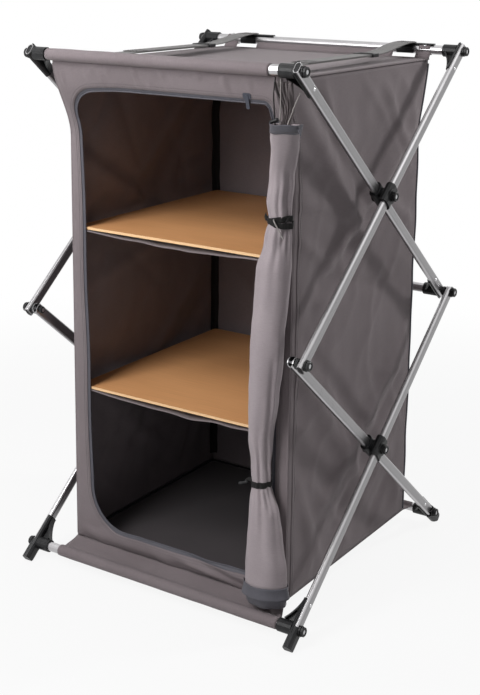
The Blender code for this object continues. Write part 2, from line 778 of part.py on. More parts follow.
def end_bolt(inside_reach, nut_radius, nut_height):
    """Bolt through two tube ends with the spacer disc between them fused to its shank."""
    outside = HALF_THICK + SEAT_GAP
    spacer_low = outside - PLANE_STEP
    inside = -(PLANE_STEP + inside_reach + SEAT_GAP)
    profile = head_profile(outside) + [
        (BOLT_RADIUS, outside), (BOLT_RADIUS, -outside), (SPACER_RADIUS, -outside),
        (SPACER_RADIUS, spacer_low), (BOLT_RADIUS, spacer_low), (BOLT_RADIUS, inside)]
    return turned(profile + nut_profile(inside, nut_radius, nut_height), BOLT_STEPS)


def plugged_bolt():
    """The middle front bolt, fused with the plug in the outer tube's end. X runs up the tube."""
    swapped = [(wide, thick) for thick, wide in plug_outline()]
    plug = along_x(extruded([swapped], PLUG_RECESS - TUBE_OVERHANG, PLUG_REACH))
    return combined([end_bolt(HALF_THICK, CAP_NUT_RADIUS, CAP_NUT_HEIGHT), plug])


def add_bolts():
    """Add the eight pivot bolts."""
    cross = crossing_bolt()
    front = plugged_bolt()
    rear = end_bolt(SOCKET_BASE, NUT_RADIUS, NUT_HEIGHT)
    rows = (
        ("bolt_upper_cross", "upper_rear", UPPER_CROSS, REAR_TOP, cross),
        ("bolt_lower_cross", "front_legs", LOWER_CROSS, REAR_MID, cross),
        ("bolt_mid_front", "upper_rear", FRONT_MID, REAR_TOP, front),
        ("bolt_mid_rear", "front_legs", REAR_MID, FRONT_LOW, rear),
    )
    for name, body, place, end, mesh in rows:
        for side, sign in (("left", -1), ("right", 1)):
            origin = place + Vector((sign * OUTER_X, 0.0, 0.0))
            shared_part(f"{name}_{side}", mesh, body, BOLT_BLACK, origin, end - place, (sign, 0, 0))


# Fabric box

def front_wall_edge():
    """The top edge of the front wall, just below and behind the sleeve."""
    reach = SLEEVE_OUTER + SEAT_GAP + FABRIC / 2
    angle = math.radians(WALL_SEAM_ANGLE)
    return FRONT_TOP + Vector((0.0, reach * math.cos(angle), reach * math.sin(angle)))


def front_wall_y(height):
    """Middle of the front wall: upright, then forward to the top front sleeve."""
    edge = front_wall_edge()
    share = smoothstep(1 - (edge.z - height) / WALL_FLARE_HEIGHT)
    return BOX_FRONT + (edge.y - BOX_FRONT) * share


def front_face_y(height):
    """Middle of the front wall on the flat face between its two nearest rows."""
    row_height = (front_wall_edge().z - WALL_LOW) / WALL_ROWS
    below = WALL_LOW + row_height * math.floor((height - WALL_LOW) / row_height)
    share = (height - below) / row_height
    return front_wall_y(below) * (1 - share) + front_wall_y(below + row_height) * share


def rear_wall_y(height):
    """Middle of the rear wall: upright, then back to the rear edge of the top."""
    share = smoothstep(1 - (PANEL_Z - height) / WALL_FLARE_HEIGHT)
    return BOX_REAR + (BOX_REAR_TOP - BOX_REAR) * share


def panel_z(x, y):
    """Height of the top panel: down from the sleeve, then nearly level with a slight sag."""
    start = sleeve_seam(FRONT_TOP, TOP_SEAM_ANGLE)
    drop = smoothstep((y - start.y) / TOP_SLOPE_DEPTH)
    across = 1 - (x / HALF_BOX) ** 2
    along = math.sin(math.pi * min(max((y - start.y) / (BOX_REAR_TOP - start.y), 0.0), 1.0))
    return start.z + (PANEL_Z - start.z) * drop - TOP_SAG * across * along


WALL_LOW = FLOOR_Z + FABRIC + SEAT_GAP

# Main folds of a side wall: start and end as shares of its depth and height, and a strength
SIDE_FOLDS = (
    ((0.10, 0.88), (0.42, 0.66), 1.0),
    ((0.12, 0.58), (0.52, 0.72), -0.8),
    ((0.45, 0.40), (0.95, 0.56), 0.7),
    ((0.08, 0.30), (0.40, 0.12), -0.7),
    ((0.55, 0.22), (0.92, 0.30), 0.6),
    ((0.60, 0.86), (0.92, 0.78), -0.5),
)


def side_fold(depth_share, height_share):
    """How far the side wall bulges out at a place, fading to nothing at its seams."""
    total = 0.0
    for start, end, strength in SIDE_FOLDS:
        first = Vector(start)
        run = Vector(end) - first
        place = Vector((depth_share, height_share))
        share = min(max((place - first).dot(run) / run.length_squared, 0.0), 1.0)
        gap = (place - first - run * share).length
        total += strength * math.exp(-(gap * 2 * HALF_BOX / FOLD_WIDTH) ** 2)
    border = math.sin(math.pi * depth_share) * math.sin(math.pi * height_share)
    return FOLD_DEPTH * total * min(1.0, FOLD_FADE * border)


def side_place(sign, depth_share, height_share):
    """A place on a side wall, its main folds bulging outward or inward."""
    edge = front_wall_edge()
    top_y = edge.y + (BOX_REAR_TOP - edge.y) * depth_share
    top = min(panel_z(HALF_BOX, top_y) - FABRIC - SEAT_GAP, edge.z)
    height = WALL_LOW + (top - WALL_LOW) * height_share
    low_y = front_wall_y(height) + EDGE_GAP
    high_y = rear_wall_y(height) - FABRIC / 2
    bulge = max(side_fold(depth_share, height_share), -FOLD_INWARD)
    x = sign * (HALF_BOX - FABRIC / 2 + bulge)
    return Vector((x, low_y + (high_y - low_y) * depth_share, height))


def rear_place(across, up):
    """A place on the rear wall, which leans back to the top rear bar."""
    left = side_place(-1, 1.0, up)
    ripple = REAR_RIPPLE * math.sin(3 * math.pi * across) * math.sin(2 * math.pi * up)
    border = math.sin(math.pi * across) * math.sin(math.pi * up)
    return Vector((left.x * (1 - 2 * across), left.y + ripple * border, left.z))


def wrap_wall():
    """The cloth that goes round the left side, the rear and the right side in one length."""
    columns = (WRAP_SIDE_COLUMNS, WRAP_REAR_COLUMNS, WRAP_SIDE_COLUMNS)
    total = sum(columns)

    def place(around, up):
        step = round(around * total)
        if step <= columns[0]:
            return side_place(-1, step / columns[0], up)
        if step <= columns[0] + columns[1]:
            return rear_place((step - columns[0]) / columns[1], up)
        return side_place(1, (total - step) / columns[2], up)
    return sheet(total, WALL_ROWS, place, FABRIC)


def front_wall():
    """The front wall with its door opening."""
    def place(across, up):
        height = WALL_LOW + (front_wall_edge().z - WALL_LOW) * up
        return Vector((HALF_BOX * (2 * across - 1), front_wall_y(height), height))
    wall = sheet(8, WALL_ROWS, place, FABRIC)
    outline = rounded_box(
        -HALF_BOX + OPENING_LEFT, HALF_BOX - OPENING_RIGHT, LOW_Z + OPENING_BOTTOM,
        HIGH_Z - OPENING_TOP, OPENING_RADII)
    hole = along_y(extruded([outline], -BOX_FRONT - BOX_SETBACK, -FRONT_Y + BOX_SETBACK))
    return combined([wall], [hole])


def sleeve(left, right, middle):
    """A fabric sleeve round a front bar."""
    last = 360 - 360 / BAR_STEPS
    outline = arc(middle.y, middle.z, SLEEVE_OUTER, 0, last, BAR_STEPS - 1)
    bore = arc(middle.y, middle.z, SLEEVE_INNER, 0, last, BAR_STEPS - 1)
    return along_x(extruded([outline, bore], left, right))


def sleeve_seam(middle, degrees):
    """The place in a sleeve's wall, seen along the bar, where its panel is sewn in."""
    radius = SLEEVE_OUTER - FABRIC / 2
    angle = math.radians(degrees)
    return middle + Vector((0.0, radius * math.cos(angle), radius * math.sin(angle)))


def panel_rows():
    """The depths of the top panel's rows, from its sleeve to its rear edge."""
    start = sleeve_seam(FRONT_TOP, TOP_SEAM_ANGLE).y
    end = BOX_REAR_TOP - SEAT_GAP
    return [start + (end - start) * row / WRAP_SIDE_COLUMNS for row in range(WRAP_SIDE_COLUMNS + 1)]


def top_panel():
    """The top panel with its sleeve round the top front bar."""
    socket_end = INNER_X - SOCKET_REACH
    ring = sleeve(-socket_end + TOP_SLEEVE_LEFT, socket_end - TOP_SLEEVE_RIGHT, FRONT_TOP)
    rows = panel_rows()

    def place(across, back):
        x = HALF_BOX * (2 * across - 1)
        y = rows[round(back * WRAP_SIDE_COLUMNS)]
        return Vector((x, y, panel_z(x, y)))
    return combined([ring, sheet(10, WRAP_SIDE_COLUMNS, place, FABRIC)])


def floor_panel():
    """The floor with the front skirt and its sleeve round the bottom front bar."""
    socket_end = OUTER_X - SOCKET_REACH
    left = -socket_end + BOTTOM_SLEEVE_LEFT
    right = socket_end - BOTTOM_SLEEVE_RIGHT
    ring = sleeve(left, right, FRONT_LOW)
    join = sleeve_seam(FRONT_LOW, FLOOR_SEAM_ANGLE)

    def skirt(across, back):
        low_x = left + (-HALF_BOX - left) * back
        high_x = right + (HALF_BOX - right) * back
        y = join.y + (BOX_FRONT + SEAM_LAP - join.y) * back
        z = join.z + (FLOOR_Z + FABRIC / 2 - join.z) * back
        return Vector((low_x + (high_x - low_x) * across, y, z))
    floor = extruded([rounded_box(-HALF_BOX, HALF_BOX, BOX_FRONT - FABRIC, BOX_REAR + FABRIC,
                                  (SEAM_LAP,) * 4, 2)], FLOOR_Z, FLOOR_Z + FABRIC)
    return combined([ring, sheet(6, 3, skirt, FABRIC), floor])


def rear_skirt():
    """The strip from the floor's rear edge to the bottom rear bar."""
    start = (BOX_REAR + FABRIC + SEAT_GAP, FLOOR_Z + FABRIC / 2)
    radius = SLEEVE_INNER + FABRIC / 2
    over = arc(REAR_Y, LOW_Z, radius, 160, 90, 5)
    path = [start, ((start[0] + over[0][0]) / 2, (start[1] + over[0][1]) / 2)] + over
    half = min(HALF_BOX, INNER_X - SOCKET_REACH - SEAT_GAP)
    return along_x(extruded([strip(path, FABRIC)], -half, half))


def rear_band():
    """The band that climbs from the top's rear edge to the top rear bar.

    Its upper edge has a notch for each clip, which leaves a centre band and two end tabs.
    """
    low = Vector((BOX_REAR_TOP + FABRIC, PANEL_Z - FABRIC))
    touch = math.radians(BAND_TOUCH_ANGLE)
    reach = SLEEVE_INNER + FABRIC / 2
    rise = Vector((REAR_Y + reach * math.cos(touch), HIGH_Z + reach * math.sin(touch))) - low
    length = rise.length
    outline = [(-HALF_BOX, 0.0), (HALF_BOX, 0.0), (HALF_BOX, length)]
    for centre in (STRAP_X, -STRAP_X):
        right = centre + NOTCH_WIDE / 2
        left = centre - NOTCH_WIDE / 2
        inner = length - NOTCH_DEEP
        outline += [(right, length), (right, inner), (left, inner), (left, length)]
    outline.append((-HALF_BOX, length))
    mesh = extruded([outline], -FABRIC / 2, FABRIC / 2)
    up = Vector((0.0, rise.x, rise.y)).normalized()
    right = Vector((1.0, 0.0, 0.0))
    turn = Matrix((right, up, right.cross(up))).transposed().to_4x4()
    mesh.transform(Matrix.Translation((0.0, low.x, low.y)) @ turn)
    return mesh


def add_fabric_box():
    """Add the walls, floor, top and the strips that tie them to the rear bars."""
    add_part("top_panel", top_panel(), "top", TAUPE_CLOTH)
    add_part("top_rear_band", rear_band(), "top_rear", TAUPE_CLOTH)
    add_part("cover_front", front_wall(), "base", TAUPE_CLOTH)
    add_part("cover_wrap", wrap_wall(), "base", TAUPE_CLOTH)
    add_part("floor_panel", floor_panel(), "base", TAUPE_CLOTH)
    add_part("skirt_rear", rear_skirt(), "floor_tail", TAUPE_CLOTH)


# Shelves

def sling(rise):
    """The fabric panel under a shelf board, slack at its front edge."""
    under = LOW_Z + rise - BOARD_THICK - SEAT_GAP - FABRIC / 2
    half = HALF_BOX - FABRIC - FOLD_INWARD - SEAT_GAP

    def place(across, back):
        x = -half + 2 * half * across
        front = BOX_FRONT + FABRIC + SEAT_GAP
        y = front + (BOX_REAR - FABRIC - REAR_RIPPLE - front) * back
        slack = math.sin(math.pi * across) * max(0.0, 1 - back * 3) ** 2
        return Vector((x, y, under - SLING_SAG * slack))
    return sheet(8, 6, place, FABRIC)


def board(rise):
    """A wooden shelf board with rounded corners."""
    half = HALF_BOX - FABRIC - FOLD_INWARD - BOARD_MARGIN
    low = BOX_FRONT + FABRIC + SEAT_GAP
    high = BOX_REAR - FABRIC - REAR_RIPPLE - BOARD_MARGIN
    outline = rounded_box(-half, half, low, high, (BOARD_CORNER,) * 4, 3)
    top = LOW_Z + rise
    return extruded([outline], top - BOARD_THICK, top)


def add_shelves():
    """Add the two boards and their slings."""
    for name, body, rise in (("low", "shelf_low", SHELF_LOW_RISE), ("high", "shelf_high", SHELF_HIGH_RISE)):
        add_part(f"shelf_board_{name}", board(rise), body, BOARD_WOOD)
        add_part(f"shelf_sling_{name}", sling(rise), body, TAUPE_CLOTH)


# Rolled door and zip slider

def roll_width(height):
    """Share of the roll's full width at a height: drawn in at each tie."""
    ties = (HIGH_Z - ROLL_TOP_DROP - ROLL_TIE_IN, HIGH_Z - ROLL_TIE_DROP, LOW_Z + ROLL_LOW_TIE_RISE)
    share = 1.0
    for tie in ties:
        share -= (1 - ROLL_WAIST) * math.exp(-((height - tie) / ROLL_TIE_SPREAD) ** 2)
    return share


def roll_ring(up, turn):
    """A point on the roll's ring at a height share, from the ring's middle: a soft lobed oval."""
    angle = 2 * math.pi * turn
    lobe = 1 + sum(size * math.cos(count * angle + twist * up) for count, twist, size in ROLL_LOBES)
    width = roll_width(roll_height(up))
    return Vector((ROLL_WIDE / 2 * math.cos(angle), ROLL_DEEP / 2 * math.sin(angle))) * lobe * width


def roll_height(up):
    """The height at a share of the roll's length."""
    low = LOW_Z + ROLL_BOTTOM_RISE
    return low + (HIGH_Z - ROLL_TOP_DROP - low) * up


def door_roll():
    """The door rolled up to the right of the opening, drawn in by its ties, against the wall."""
    def place(turn, up):
        height = roll_height(up)
        rearmost = max(roll_ring(up, step / ROLL_COLUMNS).y for step in range(ROLL_COLUMNS))
        face = front_wall_y(height + ROLL_LOOK_UP) - FABRIC / 2 - SEAT_GAP
        bow = ROLL_BOW * math.sin(math.pi * up)
        x = HALF_BOX - ROLL_BOTTOM_IN + (ROLL_BOTTOM_IN + ROLL_TOP_OUT) * smoothstep(up) - bow
        ring = roll_ring(up, turn)
        return Vector((x + ring.x, face - rearmost + ring.y, height))
    return lofted(ROLL_COLUMNS, ROLL_ROWS, place)


def zip_slider():
    """The slider with its pull hanging down. Z runs up along the wall, the wall lies behind."""
    face = FABRIC / 2 + SEAT_GAP
    body_outline = rounded_box(
        -SLIDER_LONG / 2, SLIDER_LONG / 2, 0.0, SLIDER_WIDE, (SLIDER_CORNER,) * 4, 3)
    body = along_y(extruded([body_outline], face, face + SLIDER_THICK))
    pull_top = SLIDER_WIDE - SLIDER_CORNER
    pull_outline = rounded_box(
        -PULL_WIDE / 2, PULL_WIDE / 2, pull_top - PULL_LONG, pull_top,
        (PULL_CORNER,) * 4, 3)
    depth = face + SLIDER_THICK - PULL_THICK / 2
    pull = along_y(extruded([pull_outline], depth, depth + PULL_THICK))
    return combined([body, pull])


def add_door():
    """Add the rolled door and the zip slider."""
    add_part("door_roll", door_roll(), "base", TAUPE_CLOTH)
    low = HIGH_Z - OPENING_TOP + ZIP_MARGIN
    x = HALF_BOX - OPENING_RIGHT - OPENING_RADII[0]
    place = Vector((x, front_face_y(low), low))
    above = Vector((x, front_face_y(low + SLIDER_WIDE), low + SLIDER_WIDE))
    add_part("zip_slider", zip_slider(), "zip", ZIP_METAL, place, (1, 0, 0), above - place)


# Straps over the top, their adjusters and the clips on the rear bar

CLIP_INNER = BAR_RADIUS + SEAT_GAP
CLIP_OUTER = CLIP_INNER + CLIP_WALL
STRAP_X = HALF_BOX - STRAP_INSET
TAIL_START = ADJUSTER_Y - TAIL_LAP
ADJUSTER_END = ADJUSTER_Y + ADJUSTER_LONG / 2


ADJUSTER_HALF = STRAP_WIDE / 2 + SEAT_GAP + ADJUSTER_WALL
FRAME_BELOW = ADJUSTER_WALL / 2 + SEAT_GAP


def lying_z(y):
    """Height of the middle of a strap that lies on the top panel."""
    return panel_z(STRAP_X + ADJUSTER_HALF, y) + FABRIC / 2 + SEAT_GAP + STRAP_THICK / 2


STRAP_LEVEL = max(HIGH_Z - STRAP_DROP, lying_z(TAIL_START), lying_z(ADJUSTER_END) + FRAME_BELOW)
TAIL_LEVEL = STRAP_LEVEL + STRAP_THICK + SEAT_GAP


def strap_front(x):
    """The webbing sewn in behind the front bar, drawn taut over the top to the adjuster."""
    start = FRONT_Y + SLEEVE_OUTER + SEAT_GAP
    path = [(start, lying_z(start))]
    for y in panel_rows():
        if start < y < TAIL_START:
            taut = path[0][1] + (STRAP_LEVEL - path[0][1]) * (y - start) / (TAIL_START - start)
            path.append((y, max(lying_z(y), taut)))
    path += [(TAIL_START, STRAP_LEVEL), (ADJUSTER_END, STRAP_LEVEL)]
    return along_x(extruded([strip(path, STRAP_THICK)], x - STRAP_WIDE / 2, x + STRAP_WIDE / 2))


def strap_tail(x):
    """The webbing that runs level through the adjuster and climbs over the clip."""
    top = HIGH_Z + CLIP_OUTER + SEAT_GAP + STRAP_THICK / 2
    over_clip = REAR_Y - CLIP_OUTER
    path = [(TAIL_START, TAIL_LEVEL), (TAIL_RISE_START, TAIL_LEVEL)]
    for step in range(1, 7):
        share = step / 6
        y = TAIL_RISE_START + (over_clip - TAIL_RISE_START) * share
        path.append((y, TAIL_LEVEL + (top - TAIL_LEVEL) * smoothstep(share)))
    path.append((REAR_Y + TAIL_PAST_BAR, top))
    return along_x(extruded([strip(path, STRAP_THICK)], x - STRAP_WIDE / 2, x + STRAP_WIDE / 2))


def adjuster(x):
    """A sliding buckle: a flat frame whose slot passes both layers of webbing."""
    half = STRAP_WIDE / 2 + SEAT_GAP
    low = STRAP_LEVEL - STRAP_THICK / 2 - SEAT_GAP
    high = TAIL_LEVEL + STRAP_THICK / 2 + SEAT_GAP
    outer = rounded_box(x - ADJUSTER_HALF, x + ADJUSTER_HALF, low - ADJUSTER_WALL / 2,
                        high + ADJUSTER_WALL / 2, (ADJUSTER_CORNER,) * 4, 2)
    slot = [(x - half, low), (x + half, low), (x + half, high), (x - half, high)]
    frame = along_y(extruded(
        [outer, slot], -ADJUSTER_Y - ADJUSTER_LONG / 2, -ADJUSTER_Y + ADJUSTER_LONG / 2))
    notch_long = (ADJUSTER_LONG - 3 * ADJUSTER_WALL) / 2
    notches = []
    for shift in (-1, 1):
        middle = ADJUSTER_Y + shift * (notch_long + ADJUSTER_WALL) / 2
        points = rounded_box(x - half + ADJUSTER_WALL, x + half - ADJUSTER_WALL, middle - notch_long / 2,
                             middle + notch_long / 2, (ADJUSTER_CORNER,) * 4, 2)
        notches.append(extruded([points], high - SEAT_GAP, high + ADJUSTER_WALL))
    return combined([frame], notches)


def clip(x):
    """A snap clip round the rear bar, open below, with a flat plate along the bar."""
    half_mouth = CLIP_MOUTH / 2
    steps = 12
    outline = arc(REAR_Y, HIGH_Z, CLIP_OUTER, -90 + half_mouth, 270 - half_mouth, steps)
    outline += arc(REAR_Y, HIGH_Z, CLIP_INNER, 270 - half_mouth, -90 + half_mouth, steps)
    low_x = x - STRAP_WIDE / 2
    high_x = x + STRAP_WIDE / 2
    grip = along_x(extruded([outline], low_x, high_x))
    plate_low = HIGH_Z + CLIP_INNER
    plate = rounded_box(high_x - CLIP_PLATE_LAP, high_x + CLIP_PLATE_REACH, REAR_Y - CLIP_PLATE_DEEP / 2,
                        REAR_Y + CLIP_PLATE_DEEP / 2, (CLIP_CORNER,) * 4, 3)
    return combined([grip, extruded([plate], plate_low, plate_low + CLIP_PLATE_THICK)])


def add_straps():
    """Add both straps with their adjusters and clips."""
    for side, x in (("left", -STRAP_X), ("right", STRAP_X)):
        add_part(f"strap_front_{side}", strap_front(x), "top", GREY_WEBBING)
        add_part(f"strap_tail_{side}", strap_tail(x), "top_rear", GREY_WEBBING)
        add_part(f"strap_adjuster_{side}", adjuster(x), "top", BLACK_NYLON)
        add_part(f"strap_clip_{side}", clip(x), "rear_clips", BLACK_NYLON)


def main():
    """Build the cupboard."""
    add_bodies()
    add_tubes()
    add_bars()
    add_brackets()
    add_clamps()
    add_bolts()
    add_fabric_box()
    add_shelves()
    add_door()
    add_straps()


main()
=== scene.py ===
"""Folding camping cupboard: cloth, webbing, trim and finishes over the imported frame.

Metres, +Z up, +X to the right of someone who faces the front, the front at -Y.
The CAD nodes of the frame, the brackets and the boards keep their shape and get procedural
materials. The cloth, the webbing, the zip and the ties are modelled here, in the space that
their plain solids hold.
"""
from __future__ import annotations

import json
import logging
from collections.abc import Callable, Iterable, Sequence
from dataclasses import dataclass
from enum import Enum
from math import atan2, cos, degrees, exp, hypot, pi, radians, remainder, sin, sqrt
from typing import Union

import bpy
import numpy as np
from mathutils import Matrix, Vector, noise

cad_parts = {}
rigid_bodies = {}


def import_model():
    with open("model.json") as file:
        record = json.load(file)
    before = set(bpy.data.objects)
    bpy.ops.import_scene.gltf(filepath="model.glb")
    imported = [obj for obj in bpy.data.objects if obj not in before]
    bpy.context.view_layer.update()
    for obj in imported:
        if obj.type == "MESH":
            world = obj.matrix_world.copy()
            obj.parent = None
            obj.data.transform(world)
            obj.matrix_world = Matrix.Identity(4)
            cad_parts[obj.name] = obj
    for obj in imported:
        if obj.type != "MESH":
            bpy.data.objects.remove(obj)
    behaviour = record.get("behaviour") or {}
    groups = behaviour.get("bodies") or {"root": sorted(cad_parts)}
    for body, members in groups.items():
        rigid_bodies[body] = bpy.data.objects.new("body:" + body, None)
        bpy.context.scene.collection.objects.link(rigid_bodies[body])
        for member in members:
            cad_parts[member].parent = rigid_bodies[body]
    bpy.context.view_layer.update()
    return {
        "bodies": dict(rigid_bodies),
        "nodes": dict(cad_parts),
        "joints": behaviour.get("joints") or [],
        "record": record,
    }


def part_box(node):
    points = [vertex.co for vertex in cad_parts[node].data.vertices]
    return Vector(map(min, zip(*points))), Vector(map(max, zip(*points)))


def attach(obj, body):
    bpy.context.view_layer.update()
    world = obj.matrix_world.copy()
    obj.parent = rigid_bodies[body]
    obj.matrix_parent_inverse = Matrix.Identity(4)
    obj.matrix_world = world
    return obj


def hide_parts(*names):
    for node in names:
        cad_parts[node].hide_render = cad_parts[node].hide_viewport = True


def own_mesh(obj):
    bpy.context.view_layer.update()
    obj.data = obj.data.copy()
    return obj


LOG = logging.getLogger("cupboard")

Piece = bpy.types.Object
Material = bpy.types.Material
Line = Sequence[Sequence[float]]
Colour = tuple[float, float, float]
Value = Union["Wire", float, Sequence[float], None]

# Real sizes that the cloth needs beside what the frame's boxes give, and angles in degrees
CLOTH_THICK = 0.0009
SOLID_CLOTH = 0.0012
GAP = 0.0003
TOP_DROP = 0.017
TOP_SAG = 0.008
TOP_SLOPE_DEPTH = 0.100
WALL_FLARE_HEIGHT = 0.150
TOP_SLEEVE_ENDS = (-0.254, 0.236)
BOTTOM_SLEEVE_ENDS = (-0.247, 0.273)
SLEEVE_EASE = 0.0010
OPENING_INSETS = (0.030, 0.024, 0.054, 0.042)
OPENING_RADII = (0.016, 0.055, 0.088, 0.040)
FOLDED_ANGLE = 5.0
STITCH_PITCH = 0.0042
STITCH_LONG = 0.0030
STITCH_THICK = 0.00042
STITCH_PROUD = 0.0007
FOLD_EASE = 0.0015
TOP_SEAM = -30.0
BOTTOM_SEAM = 20.0
SIDES = (("left", -1), ("right", 1))
PANELS = ("top_panel_cloth", "floor_panel_cloth")
UP = Vector((0.0, 0.0, 1.0))
WHITE = (1.0, 1.0, 1.0, 1.0)


class Body(str, Enum):
    """The CAD bodies that pieces ride on."""

    BASE = "base"
    FRONT_LEGS = "front_legs"
    REAR_LEGS = "rear_legs"
    UPPER_FRONT = "upper_front"
    UPPER_REAR = "upper_rear"
    TOP = "top"
    TOP_REAR = "top_rear"
    CLIPS = "rear_clips"
    FLOOR_TAIL = "floor_tail"
    SHELF_LOW = "shelf_low"
    SHELF_HIGH = "shelf_high"


class Slot(str, Enum):
    """The record's material slots, named alongside the pieces made here."""

    ALUMINIUM = "aluminium"
    NYLON = "black_nylon"
    CLOTH = "taupe_cloth"
    WEBBING = "grey_webbing"
    ZIP = "zip_metal"


class Held(str, Enum):
    """How a sheet of cloth is held."""

    STRETCHED = "stretched"
    FOLDED = "folded"
    HUNG = "hung"
    GATHERED = "gathered"


# Places

@dataclass(frozen=True)
class Layout:
    """Places of the frame that the cloth follows, read from the CAD nodes.

    Attributes:
        front_y: Middle of the front bars.
        rear_y: Middle of the rear bars.
        low_z: Middle of the bottom bars.
        high_z: Middle of the top bars.
        bar_radius: Outer radius of a bar.
        half_box: Half the cloth box's width.
        box_front: Middle of the front wall below its flare.
        box_rear: Middle of the rear wall below its flare.
        rear_top_y: Rear edge of the top panel.
        wall_low: Lower edge of the walls.
        inner_x: Middle of the inner tubes.
        outer_x: Middle of the outer tubes.
        board_tops: Height of each board's top.
    """

    front_y: float
    rear_y: float
    low_z: float
    high_z: float
    bar_radius: float
    half_box: float
    box_front: float
    box_rear: float
    rear_top_y: float
    wall_low: float
    inner_x: float
    outer_x: float
    board_tops: tuple[float, float]

    @classmethod
    def read(cls) -> Layout:
        """Read the places from the boxes of the CAD nodes.

        Returns:
            The layout.
        """
        top_low, top_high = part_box("bar_top_front")
        foot_low, foot_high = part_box("bar_bottom_front")
        rear_low, rear_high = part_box("bar_top_rear")
        cover_low, cover_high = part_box("cover_front")
        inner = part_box("tube_upper_front_right")
        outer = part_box("tube_upper_rear_right")
        return cls(
            front_y=(top_low.y + top_high.y) / 2,
            rear_y=(rear_low.y + rear_high.y) / 2,
            low_z=(foot_low.z + foot_high.z) / 2,
            high_z=(top_low.z + top_high.z) / 2,
            bar_radius=(top_high.z - top_low.z) / 2,
            half_box=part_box("skirt_rear")[1].x,
            box_front=cover_high.y - SOLID_CLOTH / 2,
            box_rear=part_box("floor_panel")[1].y - SOLID_CLOTH,
            rear_top_y=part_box("top_panel")[1].y + GAP,
            wall_low=cover_low.z,
            inner_x=(inner[0].x + inner[1].x) / 2,
            outer_x=(outer[0].x + outer[1].x) / 2,
            board_tops=(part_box("shelf_board_low")[1].z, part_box("shelf_board_high")[1].z),
        )

    @property
    def panel_rest(self) -> float:
        """Height of the top panel behind its slope."""
        return self.high_z - TOP_DROP

    @property
    def sleeve_radius(self) -> float:
        """Middle of the wall of a sleeve round a front bar."""
        return self.bar_radius + GAP + SOLID_CLOTH / 2

    @property
    def squash_floor(self) -> float:
        """Height towards which the cloth flattens as the frame folds."""
        return self.wall_low - SOLID_CLOTH - GAP

    def fold_keep(self, hung: float) -> float:
        """Share of the height that is left when the frame lies folded.

        Args:
            hung: Height at which the cloth hangs from something on the top bars.

        Returns:
            The share that keeps its upper edge there.
        """
        rest = atan2((self.high_z - self.low_z) / 2, self.rear_y - self.front_y)
        down = (self.high_z - self.low_z) * (1 - sin(radians(FOLDED_ANGLE)) / sin(rest))
        return (hung - down - self.squash_floor) / (hung - self.squash_floor)

    @property
    def sleeve_keep(self) -> float:
        """What is left of cloth that hangs from the front sleeve."""
        return self.fold_keep(self.front_edge.z - FOLD_EASE)

    @property
    def panel_keep(self) -> float:
        """What is left of cloth that hangs from the edge of the top panel."""
        return self.fold_keep(self.panel_rest - SOLID_CLOTH - GAP - FOLD_EASE)

    def seam(self, bar_z: float, turn: float) -> Vector:
        """Where a panel leaves a front bar's sleeve.

        Args:
            bar_z: Middle of the bar.
            turn: Angle round the bar in degrees, from straight back and up.

        Returns:
            The place, with x at 0.
        """
        angle = radians(turn)
        return Vector((0.0, self.front_y + self.sleeve_radius * cos(angle),
                       bar_z + self.sleeve_radius * sin(angle)))

    @property
    def front_edge(self) -> Vector:
        """The top edge of the front wall, below and behind the sleeve.

        Returns:
            The place, with x at 0.
        """
        reach = self.bar_radius + 2 * GAP + 1.5 * SOLID_CLOTH
        angle = radians(-50.0)
        return Vector((0.0, self.front_y + reach * cos(angle), self.high_z + reach * sin(angle)))

    def front_wall_y(self, height: float) -> float:
        """The front wall: upright, then forward to the top front sleeve.

        Args:
            height: The height.

        Returns:
            The depth.
        """
        edge = self.front_edge
        share = smoothstep(1 - (edge.z - height) / WALL_FLARE_HEIGHT)
        return self.box_front + (edge.y - self.box_front) * share

    def rear_wall_y(self, height: float) -> float:
        """Depth of the rear wall: upright, then back to the rear edge of the top."""
        share = smoothstep(1 - (self.panel_rest - height) / WALL_FLARE_HEIGHT)
        return self.box_rear + (self.rear_top_y - self.box_rear) * share

    def panel_height(self, x: float, y: float) -> float:
        """The top panel: down from the sleeve, then nearly level with a slight sag.

        Args:
            x: Place across.
            y: Depth.

        Returns:
            The height.
        """
        start = self.seam(self.high_z, TOP_SEAM)
        drop = smoothstep((y - start.y) / TOP_SLOPE_DEPTH)
        across = 1 - (x / self.half_box) ** 2
        along = sin(pi * clamp((y - start.y) / (self.rear_top_y - start.y)))
        return start.z + (self.panel_rest - start.z) * drop - TOP_SAG * across * along

    def opening_box(self, inward: float = 0.0) -> tuple[float, float, float, float]:
        """The door opening.

        Args:
            inward: How much smaller it is made on each side.

        Returns:
            Low x, high x, low z and high z.
        """
        left, right, top, bottom = OPENING_INSETS
        return (-self.half_box + left + inward, self.half_box - right - inward,
                self.low_z + bottom + inward, self.high_z - top - inward)


def clamp(value: float, low: float = 0.0, high: float = 1.0) -> float:
    """Keep a number between two limits."""
    return min(max(value, low), high)


def smoothstep(value: float) -> float:
    """Ease from 0 to 1."""
    value = clamp(value)
    return value * value * (3 - 2 * value)


def bell(gap: float, width: float) -> float:
    """A soft bump of height 1 around 0."""
    return exp(-(gap / width) ** 2)


def ripple(x: float, y: float, seed: float = 0.0) -> float:
    """Smooth seeded noise between about -1 and 1."""
    return noise.noise(Vector((x, y, seed)))


# Shaders

